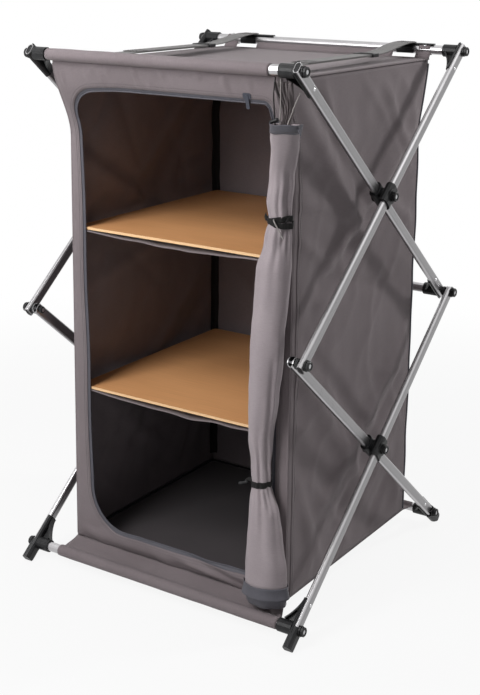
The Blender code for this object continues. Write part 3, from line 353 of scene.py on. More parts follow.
class Wire:
    """A shader value that takes part in sums and products."""

    def __init__(self, graph: Graph, socket: bpy.types.NodeSocket) -> None:
        """Keep the socket and its graph."""
        self.graph = graph
        self.socket = socket

    def _math(self, operation: str, *values: Wire | float) -> Wire:
        """Add a Math node."""
        return self.graph.node("ShaderNodeMath", *values, operation=operation)

    def __add__(self, other: Wire | float) -> Wire:
        """Sum."""
        return self._math("ADD", self, other)

    __radd__ = __add__

    def __sub__(self, other: Wire | float) -> Wire:
        """Difference."""
        return self._math("SUBTRACT", self, other)

    def __rsub__(self, other: Wire | float) -> Wire:
        """Difference from a number."""
        return self._math("SUBTRACT", other, self)

    def __mul__(self, other: Wire | float) -> Wire:
        """Product."""
        return self._math("MULTIPLY", self, other)

    __rmul__ = __mul__

    def __truediv__(self, other: Wire | float) -> Wire:
        """Quotient."""
        return self._math("DIVIDE", self, other)

    def __pow__(self, other: Wire | float) -> Wire:
        """Power."""
        return self._math("POWER", self, other)

    def __abs__(self) -> Wire:
        """Absolute value."""
        return self._math("ABSOLUTE", self)

    def sine(self) -> Wire:
        """Sine of the value."""
        return self._math("SINE", self)

    def root(self) -> Wire:
        """Square root of the value."""
        return self._math("SQRT", self)

    def larger(self, other: Wire | float) -> Wire:
        """The larger of two values."""
        return self._math("MAXIMUM", self, other)

    def ease(self, low: float, high: float) -> Wire:
        """0 below low, 1 above high and smooth between."""
        return self.graph.node("ShaderNodeMapRange", self, low, high, interpolation_type="SMOOTHSTEP")


class Graph:
    """The node tree of one material around its Principled shader, or of the world."""

    def __init__(self, name: str, owner: bpy.types.World | None = None) -> None:
        """Make a material, or take the world, and find its shader.

        Args:
            name: Name of the material.
            owner: The world, whose nodes are used in place of a material's.
        """
        self.material = owner or bpy.data.materials.new(name)
        self.material.use_nodes = True
        self.tree = self.material.node_tree
        self.shader = self.tree.nodes["Background" if owner else "Principled BSDF"]

    def node(self, kind: str, *values: Value, output: int | str = 0,
             sockets: dict[str, Value] | None = None, **settings: object) -> Wire:
        """Add any node.

        Args:
            kind: Blender's type name of the node.
            values: What goes into its inputs, in order. None skips one.
            output: The output to return.
            sockets: What goes into its inputs, by name.
            settings: The node's own properties.

        Returns:
            The chosen output.
        """
        made = self.tree.nodes.new(kind)
        for key, value in settings.items():
            setattr(made, key, value)
        named = [(made.inputs[key], value) for key, value in (sockets or {}).items()]
        for target, value in [*zip(made.inputs, values), *named]:
            if isinstance(value, Wire):
                self.tree.links.new(value.socket, target)
            elif value is not None:
                target.default_value = value
        return Wire(self, made.outputs[output])

    def place(self) -> Wire:
        """The place in the row frame."""
        return self.node("ShaderNodeTexCoord", output="Object")

    def ray(self, kind: str) -> Wire:
        """1 for rays of a kind, such as Camera, and 0 for all others."""
        return self.node("ShaderNodeLightPath", output=f"Is {kind} Ray")

    def cloth_place(self) -> Wire:
        """The place on a sheet, in metres, from its UV map."""
        return self.node("ShaderNodeTexCoord", output="UV")

    def part(self, vector: Wire, axis: str) -> Wire:
        """One number of a vector."""
        return self.node("ShaderNodeSeparateXYZ", vector, output=axis)

    def along(self, vector: Wire, direction: Sequence[float]) -> Wire:
        """How far a place lies along a direction."""
        return self.node("ShaderNodeVectorMath", vector, tuple(direction), operation="DOT_PRODUCT",
                         output="Value")

    def stretched(self, vector: Wire, scale: Sequence[float]) -> Wire:
        """A place scaled along each axis."""
        return self.node("ShaderNodeVectorMath", vector, tuple(scale), operation="MULTIPLY")

    def noise(self, vector: Wire, scale: float, detail: float = 3.0, rough: float = 0.5) -> Wire:
        """Noise from 0 to 1."""
        return self.node("ShaderNodeTexNoise", vector, None, scale, detail, rough)

    def mix(self, share: Wire, first: Value, second: Value) -> Wire:
        """Mix two colours."""
        ends = [value if isinstance(value, Wire) else (*value, 1.0) for value in (first, second)]
        return self.node("ShaderNodeMix", share, *[None] * 5, *ends, output=2, data_type="RGBA")

    def bump(self, height: Wire, distance: float, strength: float = 1.0) -> None:
        """Send a height to the shader's normal."""
        self.feed("Normal", self.node("ShaderNodeBump", output="Normal", sockets={
            "Strength": strength, "Distance": distance, "Height": height}))

    def feed(self, name: str, wire: Wire) -> None:
        """Send a value to one of the shader's inputs."""
        self.tree.links.new(wire.socket, self.shader.inputs[name])

    def fix(self, **values: Value) -> None:
        """Set constant inputs of the shader, with _ for a space in their names."""
        for key, value in values.items():
            self.shader.inputs[key.replace("_", " ")].default_value = value


@dataclass(frozen=True)
class Finish:
    """What every finish does: make a material of its own."""

    def material(self, name: str) -> Material:
        """Make the material.

        Args:
            name: Its name.

        Returns:
            The material.
        """
        graph = Graph(name)
        self.dress(graph)
        return graph.material

    def dress(self, graph: Graph) -> None:
        """Add the finish to a material's nodes."""
        raise NotImplementedError


@dataclass(frozen=True)
class ClothFinish(Finish):
    """Coated polyester: a plain weave, slightly uneven yarn and soft fading.

    Attributes:
        colour: Main colour, linear.
        shade: Darker yarn colour, linear.
        yarn: Yarns per metre.
        rough: Roughness.
    """

    colour: Colour
    shade: Colour
    yarn: float = 1500.0
    rough: float = 0.78

    def dress(self, graph: Graph) -> None:
        """Add the weave, the uneven yarn and the fading.

        Args:
            graph: The material's nodes.
        """
        place = graph.cloth_place()
        across = (graph.part(place, "X") * self.yarn * pi).sine()
        along = (graph.part(place, "Y") * self.yarn * pi).sine()
        weave = abs(across) * 0.5 + abs(along) * 0.5
        slub = graph.noise(graph.stretched(place, (90.0, 700.0, 1.0)), 1.0, 4.0)
        fade = graph.noise(graph.place(), 7.0, 3.0, 0.55)
        grain = graph.noise(graph.place(), 420.0, 3.0, 0.6)
        share = (slub * 0.45 + fade * 0.6 + grain * 0.35 - 0.2).ease(0.1, 0.95)
        graph.feed("Base Color", graph.mix(share, self.shade, self.colour))
        graph.feed("Roughness", grain * 0.14 + (self.rough - 0.07))
        graph.bump(weave * 0.6 + slub * 0.3 + grain * 0.5, 0.00035, 0.55)
        graph.fix(Sheen_Weight=0.12, Sheen_Roughness=0.45, Specular_IOR_Level=0.35)


@dataclass(frozen=True)
class WebbingFinish(Finish):
    """Woven webbing: ribs across its length and a row of chevrons along it.

    Attributes:
        colour: Main colour, linear.
        shade: Colour between the ribs, linear.
        rib: Ribs per metre.
        lane: Lanes per metre across it.
        chevron: How fast the ribs slant from side to side.
        rough: Middle roughness.
        gloss: Level of its mirror shine.
    """

    colour: Colour
    shade: Colour
    rib: float = 560.0
    lane: float = 900.0
    chevron: float = 420.0
    rough: float = 0.72
    gloss: float = 0.35

    def dress(self, graph: Graph) -> None:
        """Add the ribs, the lanes and a little dust.

        Args:
            graph: The material's nodes.
        """
        place = graph.cloth_place()
        across = graph.part(place, "X")
        along = graph.part(place, "Y")
        slant = abs((across * self.chevron).sine()) * 0.9
        ribs = abs(((along * self.rib + slant) * pi).sine())
        lanes = abs((across * self.lane * pi).sine())
        dust = graph.noise(graph.place(), 60.0, 4.0)
        share = (ribs * 0.5 + lanes * 0.25 + dust * 0.5 - 0.1).ease(0.1, 1.0)
        graph.feed("Base Color", graph.mix(share, self.shade, self.colour))
        graph.feed("Roughness", dust * 0.16 + (self.rough - 0.08))
        graph.bump(ribs * 0.7 + lanes * 0.3, 0.0005, 0.7)
        graph.fix(Sheen_Weight=self.gloss * 0.3, Specular_IOR_Level=self.gloss)


@dataclass(frozen=True)
class MetalFinish(Finish):
    """Drawn, satin anodised aluminium with fine streaks along one direction.

    Attributes:
        colour: Colour of the metal, linear.
        direction: The way that the tube was drawn.
        groove_x: Middle of the tube across the frame, where its narrow sides have a flute.
        rough: Middle roughness.
        flat: Share of the colour on the flat sides, a painted reflection that makes them duller than the
            narrow ones.
        flute: Distances from the tube's middle between which the flute's edge runs out, and its painted dark
            reflection line fades.
        rounding: Distances from the tube's middle between which its flat side begins.
    """

    colour: Colour
    direction: tuple[float, float, float]
    groove_x: float = 0.0
    rough: float = 0.30
    flat: float = 0.55
    flute: tuple[float, float] = (0.0006, 0.0017)
    rounding: tuple[float, float] = (0.0040, 0.0057)

    def dress(self, graph: Graph) -> None:
        """Add the streaks, the scuffs, the flute with its painted dark reflection line, and the painted
        reflection that makes the flat sides duller.

        Args:
            graph: The material's nodes.
        """
        place = graph.place()
        way = Vector(self.direction).normalized()
        side = way.cross(Vector((1.0, 0.0, 0.0)) if abs(way.x) < 0.9 else Vector((0.0, 0.0, 1.0)))
        other = way.cross(side)
        drawn = graph.node(
            "ShaderNodeCombineXYZ", graph.along(place, way) * 6.0,
            graph.along(place, side.normalized()) * 2600.0,
            graph.along(place, other.normalized()) * 2600.0)
        streak = graph.noise(drawn, 1.0, 2.0)
        blotch = graph.noise(place, 34.0, 3.0)
        scuff = graph.noise(place, 260.0, 4.0, 0.7).ease(0.66, 0.78)
        darker = tuple(part * 0.80 for part in self.colour)
        share = (streak * 0.6 + blotch * 0.6 - 0.1).ease(0.1, 0.9)
        colour = graph.mix(share, darker, self.colour)
        height = streak * 0.12
        if self.groove_x:
            off = abs(abs(graph.part(place, "X")) - self.groove_x)
            flute = 1.0 - off.ease(*self.flute)
            height = height - flute * 2.0
            # Painted reflection: the flat sides get a duller share of the colour than the narrow sides.
            flat_painted_reflection = tuple(part * self.flat for part in self.colour)
            side = graph.mix(share, tuple(part * 0.86 for part in flat_painted_reflection), flat_painted_reflection)
            colour = graph.mix(off.ease(*self.rounding), colour, side)
            # Painted reflection: a dark line down the flute, at 0.30 of the colour.
            colour = graph.mix(flute * 0.55, colour, tuple(part * 0.30 for part in self.colour))
        graph.feed("Base Color", colour)
        graph.feed("Roughness", streak * 0.10 + blotch * 0.10 + scuff * 0.12 + (self.rough - 0.10))
        graph.bump(height, 0.00025, 0.8)
        graph.fix(Metallic=1.0)


@dataclass(frozen=True)
class PlasticFinish(Finish):
    """Moulded nylon: near black, with a fine spark-eroded grain and rubbed high spots.

    Attributes:
        colour: Main colour, linear.
        worn: Colour of the rubbed spots, linear.
        rough: Middle roughness.
        axis: Depth and height of the bolt whose bare centre shows, or None.
        bare: Radius of that centre.
        metal: Colour of that centre, linear.
    """

    colour: Colour = (0.010, 0.010, 0.011)
    worn: Colour = (0.024, 0.024, 0.025)
    rough: float = 0.42
    axis: tuple[float, float] | None = None
    bare: float = 0.0039
    metal: Colour = (0.42, 0.42, 0.43)

    def dress(self, graph: Graph) -> None:
        """Add the grain, the rubbed spots and the bolt's bare centre.

        Args:
            graph: The material's nodes.
        """
        place = graph.place()
        grain = graph.noise(place, 1800.0, 2.0)
        rub = graph.noise(place, 70.0, 4.0, 0.6)
        colour = graph.mix((rub * 1.0 + grain * 0.2).ease(0.45, 0.9), self.colour, self.worn)
        rough = rub * 0.18 + grain * 0.08 + (self.rough - 0.13)
        if self.axis is not None:
            depth = graph.part(place, "Y") - self.axis[0]
            height = graph.part(place, "Z") - self.axis[1]
            from_axis = (depth * depth + height * height).root()
            bare = 1.0 - from_axis.ease(self.bare, self.bare + 0.0003)
            colour = graph.mix(bare, colour, self.metal)
            graph.feed("Metallic", bare)
            rough = rough * (1.0 - bare) + bare * 0.28
        graph.feed("Base Color", colour)
        graph.feed("Roughness", rough)
        graph.bump(grain * 0.7 + rub * 0.4, 0.00022, 0.5)
        graph.fix(Specular_IOR_Level=0.24)


@dataclass(frozen=True)
class WoodFinish(Finish):
    """Thin laminated board: warm, smooth, with a faint long grain and a paler cut front edge, partly its own
    colour and partly a painted highlight.

    Attributes:
        colour: Main colour, linear.
        shade: Colour of the darker grain, linear.
        edge: Colour of the cut front edge, linear: partly its own paler colour and partly a painted
            highlight.
        front: Depth of that edge.
    """

    colour: Colour
    shade: Colour
    edge: Colour
    front: float

    def dress(self, graph: Graph) -> None:
        """Add the grain, the pores and the cut front edge, paler partly by its own colour and partly by a
        painted highlight.

        Args:
            graph: The material's nodes.
        """
        place = graph.place()
        warp = graph.noise(graph.stretched(place, (5.0, 9.0, 5.0)), 1.0, 2.0)
        grain = graph.noise(graph.stretched(place, (9.0, 330.0, 330.0)), 1.0, 4.0, 0.55)
        # The front edge's paler colour is partly the cut's own tone and partly a painted highlight.
        cut = 1.0 - (graph.part(place, "Y") - self.front).ease(0.0002, 0.0012)
        pores = graph.noise(graph.stretched(place, (60.0, 1500.0, 1500.0)), 1.0, 2.0).ease(0.62, 0.75)
        share = (grain * 0.7 + warp * 0.5 - 0.1).ease(0.1, 0.9)
        board = graph.mix(share - pores * 0.12, self.shade, self.colour)
        graph.feed("Base Color", graph.mix(cut, board, self.edge))
        graph.feed("Roughness", grain * 0.16 + warp * 0.08 + 0.40)
        graph.bump(grain * 0.5 - pores * 0.5, 0.00012, 0.5)
        graph.fix(Coat_Weight=0.06, Coat_Roughness=0.35)


@dataclass(frozen=True)
class TapeFinish(Finish):
    """Zip tape: a dense twill in slate blue."""

    colour: Colour
    shade: Colour
    twill: float = 1300.0

    def dress(self, graph: Graph) -> None:
        """Add the twill.

        Args:
            graph: The material's nodes.
        """
        place = graph.cloth_place()
        twill = abs(((graph.part(place, "X") + graph.part(place, "Y")) * self.twill * pi).sine())
        wave = graph.noise(graph.place(), 45.0, 3.0)
        share = (twill * 0.5 + wave * 0.6).ease(0.15, 0.95)
        graph.feed("Base Color", graph.mix(share, self.shade, self.colour))
        graph.feed("Roughness", wave * 0.2 + 0.52)
        graph.bump(twill * 0.5 + wave * 0.4, 0.0003, 0.5)
        graph.fix(Sheen_Weight=0.08)


@dataclass(frozen=True)
class Finishes:
    """The materials that more than one sub-assembly uses."""

    cloth: Material
    door: Material
    lining: Material
    ground: Material
    webbing: Material
    black_webbing: Material
    tape: Material
    thread: Material
    cord: Material
    steel: Material
    nylon: Material

    @classmethod
    def make(cls) -> Finishes:
        """Make the shared materials.

        Returns:
            The materials.
        """
        return cls(
            cloth=ClothFinish((0.240, 0.203, 0.213), (0.168, 0.139, 0.146)).material("taupe_cloth"),
            # The door's copy of the cloth is lighter than the walls' copy, though it is the same cloth:
            # painted light.
            door=ClothFinish((0.400, 0.345, 0.364), (0.300, 0.257, 0.272)).material("taupe_cloth_door_painted_light"),
            # A darker copy of the same cloth: painted shade, for the slings under the boards and the neck in
            # the cover's corner.
            lining=ClothFinish((0.150, 0.128, 0.130), (0.105, 0.088, 0.090)).material("taupe_cloth_painted_shade"),
            ground=ClothFinish((0.064, 0.054, 0.058), (0.044, 0.037, 0.040)).material("taupe_cloth_floor"),
            webbing=WebbingFinish((0.215, 0.208, 0.205), (0.105, 0.102, 0.100)).material("grey_webbing"),
            black_webbing=WebbingFinish((0.015, 0.014, 0.014), (0.006, 0.006, 0.006),
                                        gloss=0.14).material("black_webbing"),
            tape=TapeFinish((0.096, 0.093, 0.112), (0.050, 0.048, 0.060)).material("slate_zip_tape"),
            thread=ClothFinish((0.130, 0.115, 0.118), (0.090, 0.080, 0.082), 2400.0, 0.6).material("thread"),
            cord=WebbingFinish((0.340, 0.315, 0.305), (0.200, 0.180, 0.175)).material("pale_cord"),
            steel=MetalFinish((0.66, 0.66, 0.67), (1.0, 0.0, 0.0), rough=0.24).material("bright_steel"),
            nylon=PlasticFinish().material("black_nylon_plain"),
        )


# Meshes

def mesh_object(name: str, places: Line, faces: Sequence[Sequence[int]],
                material: Material, corners: np.ndarray | None = None) -> Piece:
    """Make a smooth mesh object.

    Args:
        name: Name of the object.
        places: Its vertices.
        faces: The vertices of each face.
        material: Its material.
        corners: Both UV numbers of each face corner in turn, or None.

    Returns:
        The object.
    """
    mesh = bpy.data.meshes.new(name)
    mesh.from_pydata(places, [], faces)
    layer = mesh.uv_layers.new(name="metres")
    if corners is not None:
        layer.data.foreach_set("uv", corners)
    mesh.shade_smooth()
    mesh.materials.append(material)
    mesh.update()
    obj = bpy.data.objects.new(name, mesh)
    bpy.context.scene.collection.objects.link(obj)
    return obj


def grid_object(name: str, points: Sequence[Line], material: Material, thick: float = 0.0,
                closed_across: bool = False, closed_along: bool = False) -> Piece:
    """Make a mesh from a grid of places, with a UV map in metres.

    Args:
        name: Name of the object.
        points: Rows of places.
        material: Its material.
        thick: Thickness that Solidify adds evenly to both sides.
        closed_across: True if the last column joins the first.
        closed_along: True if the last row joins the first.

    Returns:
        The object.
    """
    points = np.array(points, float)
    rows, columns = points.shape[:2]
    across = np.arange(columns if closed_across else columns - 1)
    along = np.arange(rows if closed_along else rows - 1)
    row, column = (part.ravel() for part in np.meshgrid(along, across, indexing="ij"))
    after_row = (row + 1) % rows
    after_column = (column + 1) % columns
    faces = np.stack([row * columns + column, row * columns + after_column,
                      after_row * columns + after_column, after_row * columns + column], axis=1)
    u = running_length(points[rows // 2], closed_across)
    v = running_length(points[:, columns // 2], closed_along)
    corners = np.stack([np.stack([u[column], v[row]], 1), np.stack([u[column + 1], v[row]], 1),
                        np.stack([u[column + 1], v[row + 1]], 1), np.stack([u[column], v[row + 1]], 1)], 1)
    obj = mesh_object(name, points.reshape(-1, 3).tolist(), faces.tolist(), material,
                      corners.astype(np.float32).ravel())
    if thick:
        solid = obj.modifiers.new("Thickness", "SOLIDIFY")
        solid.thickness = thick
        solid.offset = 0.0
    return obj


def running_length(line: np.ndarray, closed: bool) -> np.ndarray:
    """Length along a line at each of its points, and past its end if it closes."""
    steps = np.linalg.norm(np.diff(looped(line) if closed else line, axis=0), axis=1)
    return np.concatenate([[0.0], np.cumsum(steps)])


def length_of(line: Line) -> float:
    """Length of an open line."""
    return float(running_length(np.array(line, float), False)[-1])


def looped(line: np.ndarray) -> np.ndarray:
    """A closed line with its first point once more at its end."""
    return np.vstack([line, line[:1]])


def walked(start: Vector, steps: Line) -> list[Vector]:
    """Places at given distances from a start."""
    return [start + Vector(step) for step in steps]


def face_area(piece: Piece) -> float:
    """Area of a piece's faces."""
    return sum(polygon.area for polygon in piece.data.polygons)


def surface(name: str, columns: int, rows: int, place: Callable[[float, float], Vector],
            material: Material) -> Piece:
    """Make a sheet from a function of two shares.

    Args:
        name: Name of the object.
        columns: Faces across.
        rows: Faces up.
        place: Gives the place for two shares, across and up.
        material: Its material.

    Returns:
        The object.
    """
    points = [[place(column / columns, row / rows) for column in range(columns + 1)]
              for row in range(rows + 1)]
    return grid_object(name, points, material, CLOTH_THICK)


def evenly(line: Line, count: int) -> np.ndarray:
    """Points at even distances along a line, both ends included.

    Args:
        line: The line.
        count: How many points.

    Returns:
        The points.
    """
    line = np.array(line, float)
    length = running_length(line, False)
    wanted = np.linspace(0.0, length[-1], count)
    return np.stack([np.interp(wanted, length, line[:, axis]) for axis in range(line.shape[1])], axis=1)


def tube(name: str, path: Line, radius: float | Sequence[float],
         material: Material, sides: int = 8, closed: bool = False) -> Piece:
    """Make a round tube along a path, its ends drawn in.

    Args:
        name: Name of the object.
        path: Places along the middle.
        radius: One radius, or one for each place.
        material: Its material.
        sides: Faces round the tube.
        closed: True if the path closes.

    Returns:
        The object.
    """
    line = np.array(path, float)
    if closed:
        ways = np.roll(line, -1, axis=0) - np.roll(line, 1, axis=0)
    else:
        ways = np.gradient(line, axis=0)
    ways /= np.linalg.norm(ways, axis=1)[:, None]
    radii = np.broadcast_to(np.array(radius, float), (len(line),)).copy()
    side = Vector(ways[0]).orthogonal().normalized()
    rings = []
    for centre, way, size in zip(line, ways, radii):
        way = Vector(way)
        side = (side - way * side.dot(way)).normalized()
        other = way.cross(side)
        rings.append([Vector(centre) + (side * cos(turn) + other * sin(turn)) * size
                      for turn in np.linspace(0.0, 2 * pi, sides, endpoint=False)])
    if not closed:
        rings.insert(0, [Vector(line[0]) + (point - Vector(line[0])) * 0.3 for point in rings[0]])
        rings.append([Vector(line[-1]) + (point - Vector(line[-1])) * 0.3 for point in rings[-1]])
    return grid_object(name, rings, material, 0.0, True, closed)


def ribbon(name: str, path: Line, sides: Line, wide: float,
           material: Material, thick: float, closed: bool = False,
           columns: int = 4) -> Piece:
    """Make a flat band along a path.

    Args:
        name: Name of the object.
        path: Places along the middle.
        sides: The direction across the band at each place.
        wide: Width of the band.
        material: Its material.
        thick: Its thickness.
        closed: True if it closes.
        columns: Faces across it.

    Returns:
        The object.
    """
    line = np.array(path, float)
    across = np.array(sides, float)
    across /= np.linalg.norm(across, axis=1)[:, None]
    shares = np.linspace(-0.5, 0.5, columns + 1)
    points = line[:, None, :] + across[:, None, :] * (shares[None, :, None] * wide)
    return grid_object(name, points, material, thick, False, closed)


def stitched(name: str, lines: Iterable[Line],
             material: Material) -> Piece:
    """Make rows of stitches: short four-sided threads, one after another along each line.

    Args:
        name: Name of the object.
        lines: The lines that they follow.
        material: The thread.

    Returns:
        The object.
    """
    places: list[tuple[float, ...]] = []
    faces: list[tuple[int, ...]] = []
    for line in lines:
        marks = evenly(line, max(2, int(length_of(line) / STITCH_PITCH) * 2 + 1))
        for start, end in zip(marks[0::2], marks[1::2]):
            middle = Vector((start + end) / 2)
            way = Vector(end - start).normalized()
            side = way.orthogonal().normalized()
            other = way.cross(side)
            base = len(places)
            for reach, size in ((-0.5, 0.35), (-0.3, 1.0), (0.3, 1.0), (0.5, 0.35)):
                for turn in range(4):
                    angle = pi / 2 * turn
                    out = (side * cos(angle) + other * sin(angle)) * STITCH_THICK * size
                    places.append(tuple(middle + way * (STITCH_LONG * reach) + out))
            for low in range(base, base + 12, 4):
                for turn, after in ((0, 1), (1, 2), (2, 3), (3, 0)):
                    faces.append((low + turn, low + after, low + 4 + after, low + 4 + turn))
            faces.append((base + 3, base + 2, base + 1, base))
            faces.append((base + 12, base + 13, base + 14, base + 15))
    return mesh_object(name, places, faces, material)


def turned(name: str, profile: Sequence[tuple[float, float]], origin: Vector, axis: Vector,
           material: Material, steps: int = 20) -> Piece:
    """Turn a profile about an axis.

    Args:
        name: Name of the object.
        profile: Radius and height of each ring.
        origin: Where height 0 lies.
        axis: The way up.
        material: Its material.
        steps: Faces round it.

    Returns:
        The object.
    """
    turn = Vector(axis).to_track_quat("Z", "Y").to_matrix()
    rings = [[origin + turn @ Vector((radius * cos(angle), radius * sin(angle), height))
              for angle in np.linspace(0.0, 2 * pi, steps, endpoint=False)]
             for radius, height in profile]
    return grid_object(name, rings, material, 0.0, True)


def joined(name: str, objects: Sequence[Piece]) -> Piece:
    """Join several mesh objects into one.

    Args:
        name: Name of the whole.
        objects: The parts.

    Returns:
        The first of them, which holds all.
    """
    first = objects[0]
    with bpy.context.temp_override(active_object=first, selected_editable_objects=list(objects)):
        bpy.ops.object.join()
    first.name = name
    return first


@dataclass
class Assembly:
    """What every sub-assembly needs: the places and the materials."""

    layout: Layout
    finishes: Finishes

    def attach(self, piece: Piece, slot: Slot = Slot.CLOTH, body: Body = Body.BASE,
               replaces: Sequence[str] = (), keep: float = 0.0) -> None:
        """Put a finished piece on a CAD body.

        Args:
            piece: The piece, in place.
            slot: The record's slot that its finish comes from. Not used.
            body: The body that it rides on.
            replaces: CAD nodes that it stands for.
            keep: Share of its height that is left as the frame folds, or 0; when not 0 the piece only gets a
                mesh of its own.
        """
        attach(piece, body.value)
        if replaces:
            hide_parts(*replaces)
        if keep:
            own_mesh(piece)
        LOG.info("%s on %s", piece.name, body.value)

    def sheet(self, piece: Piece, flat: tuple[float, float], rests_on: Sequence[str],
              replaces: Sequence[str] = (), keep: float = 0.0, body: Body = Body.BASE,
              held: Held = Held.STRETCHED, slot: Slot = Slot.CLOTH) -> None:
        """Put a sheet of cloth on a CAD body.

        Args:
            piece: The sheet, in place.
            flat: Width and length before it was hung. Not used.
            rests_on: What holds it. Not used.
            replaces: CAD nodes that it stands for.
            keep: Share of its height that is left as the frame folds, or 0.
            body: The body that it rides on.
            held: How it is held. Not used.
            slot: The record's slot that its finish comes from.
        """
        self.attach(piece, slot, body, replaces, keep)

    def sew(self, name: str, lines: Iterable[Line], keep: float = 0.0, body: Body = Body.BASE,
            slot: Slot = Slot.CLOTH) -> None:
        """Add rows of stitches.

        Args:
            name: Name of the piece.
            lines: The lines that they follow.
            keep: Share of their height that is left as the frame folds, or 0.
            body: The body that they ride on.
            slot: The record's slot that the thread comes from.
        """
        self.attach(stitched(name, lines, self.finishes.thread), slot, body, keep=keep)


# Frame, brackets and bolts

@dataclass
class Frame(Assembly):
    """Finishes of the tubes, bars, brackets, clamps, bolts and boards, and the tubes' rivets.

    Attributes:
        rivet_reach: Distance of a rivet from its pivot.
        tube_half: Half the tubes' thickness.
        arm_skin: Thickness of a bracket's arm with its play.
        rivet_profile: Radius and height of a rivet's head, from its rim to its middle.
    """

    rivet_reach: float = 0.050
    tube_half: float = 0.006
    arm_skin: float = 0.0029
    rivet_profile: tuple[tuple[float, float], ...] = (
        (0.0034, -0.0004), (0.0034, 0.0003), (0.0028, 0.0010), (0.0016, 0.0015), (0.0002, 0.0017))

    def dress(self, nodes: dict[str, Piece]) -> None:
        """Give each CAD node that stays its material.

        Args:
            nodes: The frame's CAD nodes by name.
        """
        wood = WoodFinish((0.810, 0.415, 0.182), (0.650, 0.308, 0.124), (0.860, 0.560, 0.300),
                          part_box("shelf_board_low")[0].y).material("board_wood")
        slider = MetalFinish((0.085, 0.090, 0.110), (1.0, 0.0, 0.0), rough=0.38).material("slate_slider")
        bar = MetalFinish((0.52, 0.51, 0.52), (1.0, 0.0, 0.0)).material("aluminium_bar")
        tubes = self._tube_materials()
        nylon = self.finishes.nylon
        plain = {"bar_": bar, "shelf_board": wood, "zip_slider": slider, "clamp_": nylon,
                 "strap_clip": nylon, "strap_adjuster": nylon}
        for name, node in nodes.items():
            if name.startswith("tube_"):
                material = tubes[name.rsplit("_", 1)[0]]
            elif name.startswith("bolt_"):
                material = self._bolt_material(name)
            elif name.startswith("bracket_"):
                material = self._bracket_material(name)
            else:
                material = next((plain[start] for start in plain if name.startswith(start)), None)
            if material:
                for holder in node.material_slots:
                    holder.material = material

    def _tube_materials(self) -> dict[str, Material]:
        """One aluminium for each of the four tube places, drawn along the tube.

        Returns:
            The material for each start of a tube's name.
        """
        layout = self.layout
        depth = layout.rear_y - layout.front_y
        stage = (layout.high_z - layout.low_z) / 2
        colour = (0.50, 0.49, 0.50)
        made = {}
        for name, slope, plane in (
                ("tube_upper_front", -1, layout.inner_x), ("tube_lower_rear", -1, layout.inner_x),
                ("tube_upper_rear", 1, layout.outer_x), ("tube_lower_front", 1, layout.outer_x)):
            way = (0.0, depth, slope * stage)
            made[name] = MetalFinish(colour, way, groove_x=plane).material(name.replace("tube", "aluminium"))
        return made

    def _bolt_material(self, name: str) -> Material:
        """Black bolt with a bare centre on its own axis.

        Args:
            name: Name of the bolt.

        Returns:
            Its material.
        """
        low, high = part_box(name)
        axis = (self.layout.front_y, self._middle_z) if "mid_front" in name else (
            (low.y + high.y) / 2, (low.z + high.z) / 2)
        finish = PlasticFinish((0.013, 0.013, 0.014), (0.030, 0.030, 0.031), 0.34, axis)
        return finish.material(name + "_finish")

    @property
    def _middle_z(self) -> float:
        """Height of the middle pivots."""
        return (self.layout.low_z + self.layout.high_z) / 2

    def _bracket_material(self, name: str) -> Material:
        """Black nylon, with the bare centre of its bolt.

        Args:
            name: Name of the bracket.

        Returns:
            Its material.
        """
        layout = self.layout
        if "mid" in name:
            return self.finishes.nylon
        axis = (layout.front_y if "front" in name else layout.rear_y,
                layout.high_z if "top" in name else layout.low_z)
        return PlasticFinish(axis=axis).material(name + "_finish")

    def build(self) -> None:
        """Add the rivets that hold the brackets' arms on the tubes."""
        layout = self.layout
        middle = self._middle_z
        front, rear = layout.front_y, layout.rear_y
        rows = (
            (Body.UPPER_FRONT, layout.inner_x, (front, layout.high_z), (rear, middle)),
            (Body.UPPER_FRONT, layout.inner_x, (rear, middle), (front, layout.high_z)),
            (Body.UPPER_REAR, layout.outer_x, (rear, layout.high_z), (front, middle)),
            (Body.REAR_LEGS, layout.inner_x, (rear, layout.low_z), (front, middle)),
            (Body.FRONT_LEGS, layout.outer_x, (front, layout.low_z), (rear, middle)),
        )
        groups: dict[Body, list[Piece]] = {}
        for body, plane, start, end in rows:
            way = Vector((0.0, end[0] - start[0], end[1] - start[1])).normalized()
            place = Vector((0.0, *start)) + way * self.rivet_reach
            for sign in (-1, 1):
                for facing, skin in ((1, self.tube_half), (-1, self.tube_half + self.arm_skin)):
                    origin = place + Vector((sign * (plane + facing * skin), 0.0, 0.0))
                    axis = Vector((sign * facing, 0.0, 0.0))
                    groups.setdefault(body, []).append(
                        turned("rivet", self.rivet_profile, origin, axis, self.finishes.steel, 14))
        for body, rivets in groups.items():
            self.attach(joined(f"rivets_{body.value}", rivets), Slot.ALUMINIUM, body)


# Cloth box

@dataclass(frozen=True)
class Fold:
    """A long soft fold in a wall.

    Attributes:
        start: Where it begins, as depth or width and height.
        end: Where it runs out.
        width: Half its width.
        height: How far it stands out. Below 0 it is a valley.
    """

    start: tuple[float, float]
    end: tuple[float, float]
    width: float
    height: float

    def at(self, place: tuple[float, float]) -> float:
        """How far the fold lifts a place.

        Args:
            place: The place, as depth or width and height.

        Returns:
            The lift in metres.
        """
        run_x, run_z = self.end[0] - self.start[0], self.end[1] - self.start[1]
        off_x, off_z = place[0] - self.start[0], place[1] - self.start[1]
        squared = run_x * run_x + run_z * run_z
        share = clamp((off_x * run_x + off_z * run_z) / squared)
        gap = hypot(off_x - run_x * share, off_z - run_z * share)
        return self.height * bell(gap, self.width) * sqrt(sin(pi * (0.08 + 0.84 * share)))


